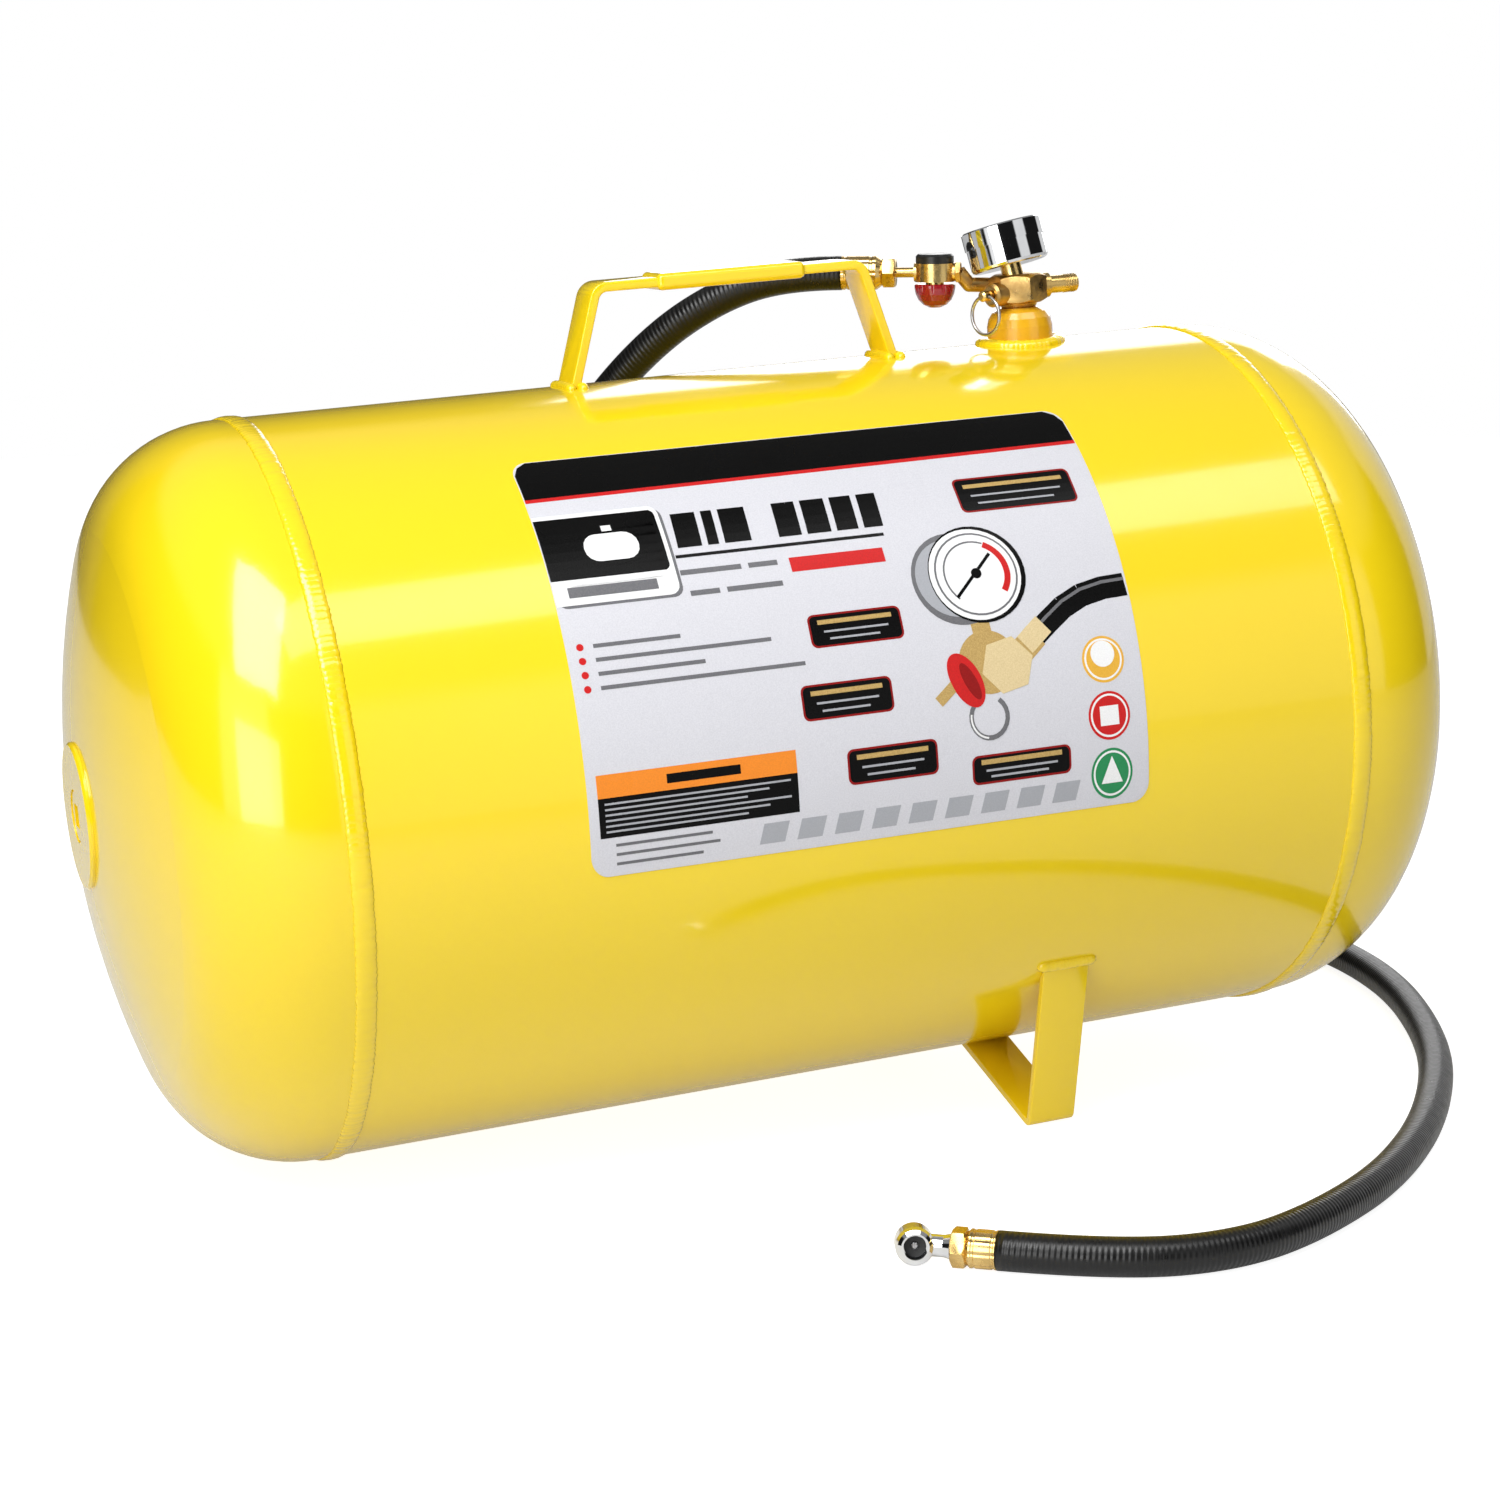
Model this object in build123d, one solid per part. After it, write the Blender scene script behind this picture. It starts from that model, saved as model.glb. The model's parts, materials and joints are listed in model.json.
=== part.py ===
from build123d import *
import os
from math import acos, asin, atan2, cos, degrees, hypot, pi, radians, sin, sqrt, tan

# A portable air receiver: a welded steel tank lying on its side, with a strap handle, a pair of
# bent feet, and a brass manifold that carries a gauge, a relief valve, a filling valve, a shut-off
# valve and a hose with an air chuck. Millimetres. The tank's own frame has its origin on the tank's
# axis midway between the girth welds: X along the axis towards the manifold, Y away from the
# label, Z up through the handle. The finished pieces are tilted to stand as the tank stands, with
# its plain end on the left girth weld and its other end on the feet, and +Z is then the true
# vertical. The origin is below the middle of the tank, on the floor.

# ---- driving dimensions ----------------------------------------------------------------------
TANK_R = 152.4                # outside radius: a 12 inch tank
WALL = 2.3
SEAM_X = 212.0                # girth welds
FLANGE_X = 217.4              # where each head's straight flange ends
KNUCKLE_R = 58.0
CROWN_R = 357.0
WELD_W, WELD_H = 9.0, 1.2     # bead's width and height

BOSS_R, BOSS_PROUD = 30.0, 0.8
PLUG_R = 11.0

STRAP_W, STRAP_T = 20.0, 4.0
HANDLE_X = 1.0                # middle of the handle
HANDLE_HALF_BASE = 69.4       # inner faces, at the shell
HANDLE_HALF_TOP = 57.8        # inner faces, under the bar
HANDLE_INNER_Z = 190.5
GRIP_LEN, GRIP_W, GRIP_T = 66.0, 23.0, 7.0
WELD_LEG = 3.4                # fillet beads at the handle and the feet

FOOT_X, FOOT_W, FOOT_T = 87.8, 20.8, 3.4
FOOT_CORNER_Y = 98.0          # corner of the bent bar, from the tank's mid plane
FOOT_LOW = 169.3              # its lowest point, below the tank's axis
FOOT_LEAN = 16.5              # lean of the upright arm, degrees
FOOT_BEND_R = 4.5

LABEL_X, LABEL_W = -4.5, 236.0
LABEL_MID, LABEL_HALF = 64.3, 33.5    # degrees from the top, and half its reach
LABEL_T, LABEL_SKEW, LABEL_CORNER_R = 0.25, -0.5, 7.0

PORT_X = 137.0                # the manifold's upright axis
BUNG_R, BUNG_TOP = 14.2, 167.5
BLOCK_AF, BLOCK_LOW, BLOCK_TOP = 22.0, 169.5, 182.0
RELIEF_Z, RELIEF_TURN = 174.0, 200.0  # axis height, and its direction in plan, degrees
FILL_Z = 176.0
THREAD_R = 6.6                # quarter inch pipe thread

GAUGE_AT = (134.5, 1.0, 185.5)        # centre of the case's back
GAUGE_LEAN_LEFT, GAUGE_LEAN_BACK = 8.0, 11.0
CASE_R, CASE_DEPTH, CASE_WALL = 17.0, 17.0, 0.8
PINION_R, SECTOR_R, MESH_GAP = 1.2, 6.6, 0.05

HOSE_R = 7.5
HOSE_BORE_R = 4.0

# The hose's route on the finished, standing object: start face, then each corner, then end face.
HOSE_ROUTE = [
    (60.8, 35.3, 355.0),
    (41.6, 46.0, 355.0),
    (16.5, 60.0, 347.5),
    (-11.0, 79.5, 327.0),
    (-35.0, 108.0, 291.0),
    (-52.0, 148.0, 240.0),
    (-60.0, 188.0, 178.0),
    (-48.0, 216.0, 112.0),
    (-4.0, 227.0, 60.0),
    (66.0, 229.0, 24.0),
    (148.0, 228.0, 7.5),
    (262.0, 222.0, 7.5),
    (346.0, 148.0, 7.5),
    (346.0, 38.0, 7.5),
    (301.0, -79.0, 7.5),
    (245.0, -165.0, 7.5),
    (186.0, -229.0, 7.5),
    (130.0, -268.0, 7.5),
    (84.0, -286.5, 7.5),
    (38.0, -279.0, 7.5),
    (2.0, -252.0, 7.5),
]
TAIL_DIR = (-0.8, 0.6, 0.0)   # the way the fittings point beyond the hose's end
MOUTH_DIR = (-0.34, -0.93, 0.12)      # the way the chuck's mouth faces

# relief valve, along its own Z
RELIEF_BODY_R, RELIEF_BORE_R = 5.2, 3.6
RELIEF_START, RELIEF_END = 6.0, 17.0
POPPET_Z = 7.4                # the seat's height
RING_AT = 20.0                # the stem's cross hole
RING_R, RING_WIRE = 8.3, 0.75

# filling valve, along its own Z
FILL_R, FILL_THREAD_R, FILL_BORE_R = 3.85, 4.3, 2.3
FILL_TIP = 28.0

# gauge, along its own Z
SOCKET_R, SOCKET_LOW = 4.6, -4.6
DIAL_Z = 12.4

# shut-off valve and hose fittings
CHAIN_TURN = 29.0             # the outlet's direction in plan, from -X towards +Y
CHAIN_AT = (124.0, 4.7, 183.7)
ELBOW_R = 3.2
VALVE_AT, VALVE_HALF = 22.0, 9.0
NUT_LOW, NUT_HIGH, NUT_AF = 39.0, 45.0, 12.4
FERRULE_END = 63.0

# the hose's far end, along the tail's own Z
TAIL_HEX = (11.5, 17.5)
CHUCK_AT = 32.0
CHUCK_R, MOUTH_R, SEAL_R = 7.35, 4.6, 4.2
MOUTH_DEPTH_Z = 4.5           # the mouth's floor, from the head's middle

# ---- the tank's stance ------------------------------------------------------------------------
STANCE_RUN = SEAM_X + FOOT_X - FOOT_W / 2
TILT = degrees(atan2(FOOT_LOW - TANK_R - WELD_H, STANCE_RUN))
SHIFT_X = 2.02                # brings the origin below the middle of the tank's length
LIFT = SEAM_X * sin(radians(TILT)) + (TANK_R + WELD_H) * cos(radians(TILT))
STANCE = Pos(SHIFT_X, 0, LIFT) * Rot(0, -TILT, 0)

# ---- helpers ----------------------------------------------------------------------------------
def turned(*outline):
    """Solid turned about Z from (radius, height) corners."""
    return revolve(Plane.XZ * make_face(Polyline(*outline, close=True)), Axis.Z)


def rod(radius, low, high):
    """Plain cylinder on Z between two heights."""
    return Pos(0, 0, (low + high) / 2) * Cylinder(radius, high - low)


def tube(outer, inner, low, high):
    """Cylinder on Z with a bore."""
    return rod(outer, low, high) - rod(inner, low - 1, high + 1)


def hexagon(across, low, high):
    """Hexagonal bar on Z with its corner edges turned off at both ends."""
    bar = Pos(0, 0, low) * extrude(RegularPolygon(across / 2, 6, major_radius=False), high - low)
    corner = across / sqrt(3)
    cut = 0.12 * across
    lens = turned((0, low), (corner - cut, low), (corner + 0.2, low + cut / 1.6),
                  (corner + 0.2, high - cut / 1.6), (corner - cut, high), (0, high))
    return bar & lens


def facing(origin, direction, up=(0, 0, 1)):
    """Place a piece built along Z so that its Z points along direction."""
    z_dir = Vector(*direction).normalized()
    x_dir = Vector(*up).cross(z_dir).normalized()
    return Plane(origin=origin, x_dir=x_dir, z_dir=z_dir).location


def coil(radius, wire, low, high, turns):
    """Compression spring on Z between two heights, its wire inside them."""
    rise = high - low - 2 * wire
    path = Pos(0, 0, low + wire) * Helix(pitch=rise / turns, height=rise, radius=radius)
    section = Plane(origin=path @ 0, z_dir=path % 0) * Circle(wire)
    return sweep(section, path=path, is_frenet=True)


# ---- tank -------------------------------------------------------------------------------------
def shell_wrapper():
    """The rolled cylinder, with a hole for the manifold's bung."""
    wall = Rot(0, 90, 0) * tube(TANK_R, TANK_R - WALL, -SEAM_X, SEAM_X)
    return wall - Pos(PORT_X, 0, 0) * rod(BUNG_R, 100, 200)


def dish_profile(inset):
    """Half profile of a head's skin, inset from its outside: flange, knuckle, crown."""
    knuckle = KNUCKLE_R - inset
    crown = CROWN_R - inset
    radius = TANK_R - inset
    reach = sqrt((crown - knuckle) ** 2 - (radius - knuckle) ** 2)
    centre_x = FLANGE_X - reach
    lean = atan2(radius - knuckle, reach)
    tangent = (centre_x + crown * cos(lean), crown * sin(lean))
    mid_turn = (lean + pi / 2) / 2
    mid_knuckle = (FLANGE_X + knuckle * cos(mid_turn), radius - knuckle + knuckle * sin(mid_turn))
    mid_crown = (centre_x + crown * cos(lean / 2), crown * sin(lean / 2))
    flange = Line((SEAM_X, radius), (FLANGE_X, radius))
    bend = ThreePointArc((FLANGE_X, radius), mid_knuckle, tangent)
    dome = ThreePointArc(tangent, mid_crown, (centre_x + crown, 0))
    return [flange, bend, dome]


def apex_x(inset=0.0):
    """Where the skin of a head meets the tank's axis."""
    knuckle, crown, radius = KNUCKLE_R - inset, CROWN_R - inset, TANK_R - inset
    return FLANGE_X - sqrt((crown - knuckle) ** 2 - (radius - knuckle) ** 2) + crown


def head_solid():
    """A pressed head, before the left one is bored."""
    outer = dish_profile(0.0)
    inner = dish_profile(WALL)
    rim = Line((SEAM_X, TANK_R), (SEAM_X, TANK_R - WALL))
    axis = Line((apex_x(WALL), 0), (apex_x(), 0))
    return revolve(make_face([*outer, *inner, rim, axis]), Axis.X)


def head_left():
    """The plain end's head, with a hole for its boss."""
    hole = Rot(0, 90, 0) * rod(PLUG_R + 5, -400, 0)
    return mirror(head_solid(), Plane.YZ) - hole


def girth_weld(x):
    """The bead round one end of the shell."""
    start, top, end = (x - WELD_W / 2, TANK_R), (x, TANK_R + WELD_H), (x + WELD_W / 2, TANK_R)
    return revolve(make_face([ThreePointArc(start, top, end), Line(end, start)]), Axis.X)


def seam_weld():
    """The lengthwise bead of the rolled shell, low on its back."""
    half = SEAM_X - WELD_W
    bead = Pos(0, 0, TANK_R - 1.4) * Rot(0, 90, 0) * Cylinder(2.4, 2 * half)
    bead = bead - Rot(0, 90, 0) * Cylinder(TANK_R, 2 * SEAM_X)
    return Rot(-150, 0, 0) * bead


def end_boss():
    """A thick round pad let into the middle of the left head, bored for a plug."""
    back = apex_x() - 8
    front = apex_x() + BOSS_PROUD
    hub = turned((PLUG_R, back), (PLUG_R + 5, back), (PLUG_R + 5, front), (PLUG_R, front))
    pad = turned((PLUG_R + 4, back), (BOSS_R, back), (BOSS_R, front - 1), (BOSS_R - 1, front),
                 (PLUG_R + 4, front))
    cavity = Rot(0, -90, 0) * revolve(make_face([*dish_profile(0.0), Line((SEAM_X, TANK_R),
             (SEAM_X, 0)), Line((SEAM_X, 0), (apex_x(), 0))]), Axis.X)
    return Rot(0, -90, 0) * (hub + (pad - cavity))


def end_plug():
    """Threaded inspection plug with a square socket, flush with the boss."""
    back, front = apex_x() - 8, apex_x() + BOSS_PROUD - 0.4
    plug = turned((0, back), (PLUG_R, back), (PLUG_R, front - 1), (PLUG_R - 1, front), (0, front))
    socket = Pos(0, 0, front - 3) * Box(9.5, 9.5, 8)
    return Rot(0, -90, 0) * (plug - socket)


# ---- handle -----------------------------------------------------------------------------------
def handle_corners(offset):
    """Corners of the strap's line, offset outwards from its inner face."""
    lean = atan2(HANDLE_HALF_BASE - HANDLE_HALF_TOP, HANDLE_INNER_Z - TANK_R)
    foot_z = TANK_R - 6
    slope = tan(lean)
    out = offset / cos(lean)
    top_half = HANDLE_HALF_TOP + out - offset * slope
    base_half = top_half + (HANDLE_INNER_Z + offset - foot_z) * slope
    top_z = HANDLE_INNER_Z + offset
    return [(HANDLE_X - base_half, foot_z), (HANDLE_X - top_half, top_z),
            (HANDLE_X + top_half, top_z), (HANDLE_X + base_half, foot_z)]


def handle_strap():
    """A flat bar bent into a handle, its legs cut to the shell."""
    inner = FilletPolyline(*handle_corners(0.0), radius=4.0)
    outer = FilletPolyline(*handle_corners(STRAP_T), radius=4.0 + STRAP_T)
    ends = [Line(inner @ 0, outer @ 0), Line(inner @ 1, outer @ 1)]
    bar = extrude(Plane.XZ * make_face([inner, outer, *ends]), STRAP_W / 2, both=True)
    return bar - Rot(0, 90, 0) * Cylinder(TANK_R, 300)


def handle_grip():
    """The thicker hand hold round the middle of the bar."""
    middle = HANDLE_INNER_Z + STRAP_T / 2
    hold = fillet(Box(GRIP_LEN, GRIP_W, GRIP_T).edges(), 2.4)
    return Pos(HANDLE_X, 0, middle) * (hold - Box(GRIP_LEN + 2, STRAP_W, STRAP_T))


def handle_welds():
    """A three-sided bead along the outer and inner foot of each leg."""
    lean = (HANDLE_HALF_BASE - HANDLE_HALF_TOP) / (HANDLE_INNER_Z - TANK_R)
    low, high = -2.0, WELD_LEG
    wall = STRAP_T * hypot(1, lean)
    beads = []
    for side in (-1, 1):
        for face, out in ((HANDLE_HALF_BASE, -1), (HANDLE_HALF_BASE + wall, 1)):
            outline = Polyline((side * (face - low * lean), low), (side * (face - high * lean), high),
                               (side * (face + out * high), 0.4),
                               (side * (face + out * high), low), close=True)
            beads.append(Pos(HANDLE_X, 0, TANK_R) * extrude(Plane.XZ * make_face(outline),
                                                            STRAP_W / 2, both=True))
    shell = Rot(0, 90, 0) * Cylinder(TANK_R, 300)
    return [bead - shell for bead in beads]


# ---- feet -------------------------------------------------------------------------------------
def foot_outline():
    """Side view of the front foot: a flat bar bent square, its corner downwards."""
    lean = radians(FOOT_LEAN)
    up = Vector(-sin(lean), cos(lean))
    back = Vector(cos(lean), sin(lean))
    centre_rise = FOOT_BEND_R * (up + back).Y
    corner = Vector(-FOOT_CORNER_Y, -FOOT_LOW - centre_rise + FOOT_BEND_R)
    inner = corner + FOOT_T * (up + back)
    outer_line = FilletPolyline(corner + 90 * up, corner, corner + 84 * back, radius=FOOT_BEND_R)
    inner_line = FilletPolyline(inner + (90 - FOOT_T) * up, inner, inner + (84 - FOOT_T) * back,
                                radius=FOOT_BEND_R - FOOT_T)
    ends = [Line(outer_line @ 0, inner_line @ 0), Line(outer_line @ 1, inner_line @ 1)]
    return make_face([outer_line, inner_line, *ends])


def foot_front():
    """The foot on the label's side."""
    bar = extrude(Plane.YZ * foot_outline(), FOOT_W / 2, both=True)
    return Pos(FOOT_X, 0, 0) * bar - Rot(0, 90, 0) * Cylinder(TANK_R, 300)


def foot_welds():
    """A bead beside the upper end of each foot's upright arm."""
    lean = radians(FOOT_LEAN)
    corner = Vector(-FOOT_CORNER_Y, -FOOT_LOW)
    up = Vector(-sin(lean), cos(lean))
    along = corner.dot(up)
    reach = -along - sqrt(along ** 2 - corner.dot(corner) + TANK_R ** 2)
    meet = corner + reach * up
    bead = Pos(FOOT_X, meet.X, meet.Y) * Rot(0, 90, 0) * Cylinder(3.2, FOOT_W)
    cut = Rot(0, 90, 0) * Cylinder(TANK_R, 300)
    front = bead - cut - foot_front()
    return [*front.solids(), *mirror(front, Plane.XZ).solids()]


# ---- label ------------------------------------------------------------------------------------
def label():
    """The printed sheet stuck round the front of the shell."""
    skin = Rot(0, 90, 0) * tube(TANK_R + LABEL_T, TANK_R, -SEAM_X + 20, SEAM_X - 20)
    height = 2 * TANK_R * sin(radians(LABEL_HALF))
    sheet = Rot(0, 0, LABEL_SKEW) * RectangleRounded(LABEL_W, height, LABEL_CORNER_R)
    cutter = extrude(sheet, 200)
    return Pos(LABEL_X, 0, 0) * (Rot(LABEL_MID, 0, 0) * cutter) & skin


# ---- manifold ---------------------------------------------------------------------------------
def top_bung():
    """A domed pipe boss welded into the top of the shell."""
    low = TANK_R - 6
    outline = turned((THREAD_R, low), (BUNG_R, low), (BUNG_R, BUNG_TOP - 8),
                     (BUNG_R - 0.8, BUNG_TOP - 4.5), (BUNG_R - 2.6, BUNG_TOP - 1.8),
                     (BUNG_R - 5.4, BUNG_TOP - 0.3), (BUNG_R - 6.2, BUNG_TOP), (THREAD_R, BUNG_TOP))
    return Pos(PORT_X, 0, 0) * outline


def bung_weld():
    """The fillet of weld round the bung."""
    fillet_ring = turned((BUNG_R, TANK_R - 3), (BUNG_R + 6.5, TANK_R - 3), (BUNG_R + 4.6, TANK_R + 0.6),
                         (BUNG_R + 1.6, TANK_R + 2.6), (BUNG_R, TANK_R + 3.4))
    return Pos(PORT_X, 0, 0) * fillet_ring - Rot(0, 90, 0) * Cylinder(TANK_R, 400)


def relief_place():
    """Frame of the relief valve: Z outwards along its axis, from the manifold's axis."""
    turn = radians(RELIEF_TURN)
    return facing((PORT_X, 0, RELIEF_Z), (cos(turn), sin(turn), 0))


def fill_place():
    """Frame of the filling valve: Z outwards along its axis, from the manifold's axis."""
    return facing((PORT_X, 0, FILL_Z), (1, 0, 0))


def gauge_place():
    """Frame of the gauge: Z out of its face, from the middle of the case's back."""
    return Pos(*GAUGE_AT) * Rot(-GAUGE_LEAN_BACK, 0, 0) * Rot(0, -GAUGE_LEAN_LEFT, 0)


def manifold_body():
    """The hexagonal brass block, with a threaded neck and drilled passages."""
    block = Rot(0, 0, 30) * hexagon(BLOCK_AF, BLOCK_LOW, BLOCK_TOP)
    collar = turned((0, BUNG_TOP), (7.4, BUNG_TOP), (8.6, BLOCK_LOW + 0.6), (0, BLOCK_LOW + 0.6))
    neck = rod(THREAD_R, BUNG_TOP - 11, BLOCK_LOW + 1)
    block = Pos(PORT_X, 0, 0) * (block + collar + neck - rod(3.0, BUNG_TOP - 12, BLOCK_LOW + 9))
    ports = [relief_place() * rod(RELIEF_BODY_R, RELIEF_START, 30), relief_place() * rod(1.8, 0, 8),
             fill_place() * rod(FILL_THREAD_R, 5.5, 30), fill_place() * rod(1.8, 0, 8),
             gauge_place() * rod(SOCKET_R, SOCKET_LOW, 3), gauge_place() * rod(1.5, -10, 0),
             elbow_pipe(ELBOW_R)]
    for port in ports:
        block = block - port
    return block


# ---- relief valve, along its own Z --------------------------------------------------------------
def relief_body():
    """Turned brass body with a seat at its inner end."""
    r, start, end = RELIEF_BODY_R, RELIEF_START, RELIEF_END
    return turned((1.8, start), (r, start), (r, end - 1), (r - 1, end), (RELIEF_BORE_R, end),
                  (RELIEF_BORE_R, POPPET_Z), (1.8, POPPET_Z))


def relief_cap():
    """Threaded adjusting ring that holds the spring in."""
    return tube(RELIEF_BORE_R, 1.4, RELIEF_END - 1.6, RELIEF_END)


def relief_stem():
    """Poppet with its soft face, and the pull stem with a cross hole."""
    poppet = rod(3.2, POPPET_Z, 8.8)
    shank = rod(1.2, 8.0, 19.0)
    eye = turned((0, 17.6), (2.3, 18.0), (2.3, 22.0), (1.4, 22.8), (0, 22.8))
    hole = Pos(0, 0, RING_AT) * Rot(0, 90, 0) * Cylinder(RING_WIRE + 0.5, 10)
    return poppet + shank + eye - hole


def relief_spring():
    """Spring between the poppet and the cap."""
    return coil(2.3, 0.4, 8.8, RELIEF_END - 1.6, 4)


def relief_ring():
    """Split wire ring through the stem's cross hole, hanging."""
    slope = degrees(asin(cos(radians(RELIEF_TURN)) * sin(radians(TILT))))
    return Pos(0, 0, RING_AT) * Rot(slope, 0, 0) * Pos(0, -RING_R, 0) * Torus(RING_R, RING_WIRE)


# ---- filling valve, along its own Z -------------------------------------------------------------
def fill_valve_body():
    """Tyre-type valve stem with a threaded root and a bore for its core."""
    outer = [(FILL_BORE_R, 5.5), (FILL_THREAD_R, 5.5), (FILL_THREAD_R, 11.5), (5.4, 11.5), (5.4, 14.2),
             (FILL_R, 14.8), (FILL_R, FILL_TIP - 0.4), (FILL_R - 0.4, FILL_TIP), (FILL_BORE_R, FILL_TIP)]
    return turned(*outer)


def fill_core():
    """The core's threaded barrel."""
    return tube(FILL_BORE_R, 0.95, 19.5, 26.5)


def fill_pin():
    """The core's pin, with its sealing disc under the barrel."""
    pin = turned((0, 11.0), (1.5, 11.0), (1.5, 12.0), (0.6, 12.0), (0.6, 17.4), (1.9, 17.4), (1.9, 19.4),
                 (0.6, 19.4), (0.6, 26.6), (0.85, 26.9), (0.85, 27.5), (0, 27.5))
    return pin


def fill_spring():
    """Spring that pushes the sealing disc against the barrel."""
    return coil(1.45, 0.25, 12.6, 17.4, 5)


def fill_retainer():
    """Cage ring that the spring stands on."""
    return tube(FILL_BORE_R, 0.9, 12.05, 12.6)


# ---- gauge, along its own Z ---------------------------------------------------------------------
def gauge_socket():
    """Brass connection with the block that carries the tube and the movement."""
    return rod(SOCKET_R, SOCKET_LOW, 1.4) + Pos(0, 0, 3.9) * Box(8, 8, 5) - rod(1.5, -7, 4)


def gauge_case():
    """Chromed cup with a rolled lower edge."""
    r, wall = CASE_R, CASE_WALL
    return turned((SOCKET_R, 0), (r - 1.6, 0), (r - 0.5, 0.5), (r, 1.6), (r, CASE_DEPTH),
                  (r - wall, CASE_DEPTH), (r - wall, 1.6), (r - 1.8, 1.0), (SOCKET_R, 1.0))


def gauge_bezel():
    """Chromed ring pressed over the case's mouth."""
    top = CASE_DEPTH + 1.2
    return turned((CASE_R, CASE_DEPTH - 6.5), (CASE_R + 0.6, CASE_DEPTH - 6.5), (CASE_R + 0.6,
                  top - 0.6), (CASE_R, top), (CASE_R - 2.2, top - 0.2), (CASE_R - 2.2, CASE_DEPTH),
                  (CASE_R, CASE_DEPTH))


def gauge_lens():
    """Clear window under the bezel."""
    return rod(CASE_R - CASE_WALL, CASE_DEPTH - 1.4, CASE_DEPTH)


def gauge_dial():
    """White dial plate, with a hole for the pointer's spindle."""
    return tube(CASE_R - CASE_WALL, 1.0, DIAL_Z, DIAL_Z + 0.5)


def sector_centre():
    """Pivot of the sector, on the gauge's own X."""
    return PINION_R + SECTOR_R + MESH_GAP


def gauge_frame():
    """The movement's two plates and their pillars."""
    pivot = Pos(sector_centre(), 0, 0)
    plates = Pos(2.5, 0, 6.8) * Box(14, 6.5, 0.8) + Pos(2.5, 0, 10.6) * Box(14, 6.5, 0.8)
    pillars = Pos(-3.2, 2.2, 8.7) * Cylinder(0.8, 3.8) + Pos(-3.2, -2.2, 8.7) * Cylinder(0.8, 3.8)
    holes = rod(0.65, 0, 20) + pivot * rod(0.65, 0, 20)
    return plates + pillars - holes


def gauge_sector():
    """The sector that the tube's tip pulls round: it meets the pinion over 49 degrees of turn."""
    rim = [(14 * cos(radians(a)), 14 * sin(radians(a))) for a in (184, 155, 126)]
    wedge = make_face(Polyline((0, 0), *rim, close=True))
    plate = extrude(wedge, 0.8) & Cylinder(SECTOR_R, 4)
    tail = Pos(2.2, 0, 0.4) * Box(4.4, 1.6, 0.8)
    blade = Pos(sector_centre(), 0, 8.3) * (plate + tail)
    return blade + Pos(sector_centre(), 0, 0) * rod(0.6, 6.5, 10.9)


def gauge_pointer():
    """Pinion, spindle and needle, at the dial's zero."""
    spindle = rod(0.6, 6.5, 14.2) + rod(PINION_R, 8.1, 9.4)
    needle = make_face(Polyline((-4.0, -0.8), (0, -1.0), (11.8, -0.15), (11.8, 0.15), (0, 1.0),
                                (-4.0, 0.8), close=True))
    hub = rod(1.9, 13.6, 14.4)
    blade = Pos(0, 0, 13.7) * extrude(needle, 0.35)
    return spindle + hub + Rot(0, 0, -135) * blade


def bourdon_tube():
    """Flattened C-shaped tube from the block round to its closed tip."""
    outer, inner = 13.4, 12.0
    ring = tube(outer, inner, 2.4, 6.0)
    gap = Pos(0, 0, 2) * extrude(make_face(Polyline((0, 0), (30, -30), (30, 30), (-6, 30),
                                 close=True)), 5)
    leg = Pos(0, -8.4, 4.2) * Box(3.6, 8.8, 3.0)
    return ring - gap + (leg - rod(3.9, 0, 8)) - Pos(0, 0, 4) * Box(8, 8, 6)


# ---- shut-off valve and hose fittings -------------------------------------------------------------
def chain_direction():
    """The outlet's direction: level once the tank is tilted."""
    turn, tilt = radians(CHAIN_TURN), radians(TILT)
    return (-cos(turn) * cos(tilt), sin(turn), cos(turn) * sin(tilt))


def chain_point(along):
    """A point on the outlet's line."""
    step = chain_direction()
    return tuple(start + along * part for start, part in zip(CHAIN_AT, step))


def chain_place(along):
    """Frame on the outlet's line with Z along it, away from the manifold."""
    return facing(chain_point(along), chain_direction())


def valve_place():
    """Frame of the shut-off valve: Z up its spindle, X along the outlet."""
    step = Vector(*chain_direction())
    side = Vector(0, 0, 1).cross(step)
    return Plane(origin=chain_point(VALVE_AT), x_dir=step, z_dir=step.cross(side)).location


def between(start, end, radius):
    """Cylinder from one point to another."""
    span = Vector(*end) - Vector(*start)
    return facing(start, tuple(span)) * rod(radius, 0, span.length)


def elbow_pipe(radius):
    """Bent pipe from the block's side up to the shut-off valve, as a solid of one radius."""
    root, bend = (133.5, 6.9, 177.0), (118.6, 10.4, 178.4)
    end = chain_point(VALVE_AT - VALVE_HALF - 1.5)
    return between(root, bend, radius) + between(bend, end, radius) + Pos(*bend) * Sphere(radius)


def outlet_elbow():
    """The outlet pipe, with its flow passage and a hexagon at the valve."""
    collar = chain_place(VALVE_AT - VALVE_HALF - 2.5) * hexagon(8.6, 0, 2.5)
    clear = valve_place() * (rod(8.7, -4, 4) + Rot(0, 90, 0) * rod(4.0, -VALVE_HALF, VALVE_HALF))
    return elbow_pipe(ELBOW_R) + collar - elbow_pipe(1.3) - clear


def valve_body():
    """Round brass body with a barrel along the outlet and a seat across it."""
    body = rod(8.7, -4, 4) + Rot(0, 90, 0) * rod(4.0, -VALVE_HALF, VALVE_HALF)
    body = body - rod(2.6, -5, 1.0) - rod(1.3, 0, 2.6)
    inlet = Rot(0, 90, 0) * rod(1.1, 0, VALVE_HALF + 1)
    outlet = Pos(0, 0, 2.0) * Rot(0, 90, 0) * rod(0.5, -VALVE_HALF - 1, 0)
    return body - inlet - outlet


def packing_nut():
    """Gland nut round the spindle."""
    return tube(4.0, 1.7, -6.4, -4.0)


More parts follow.
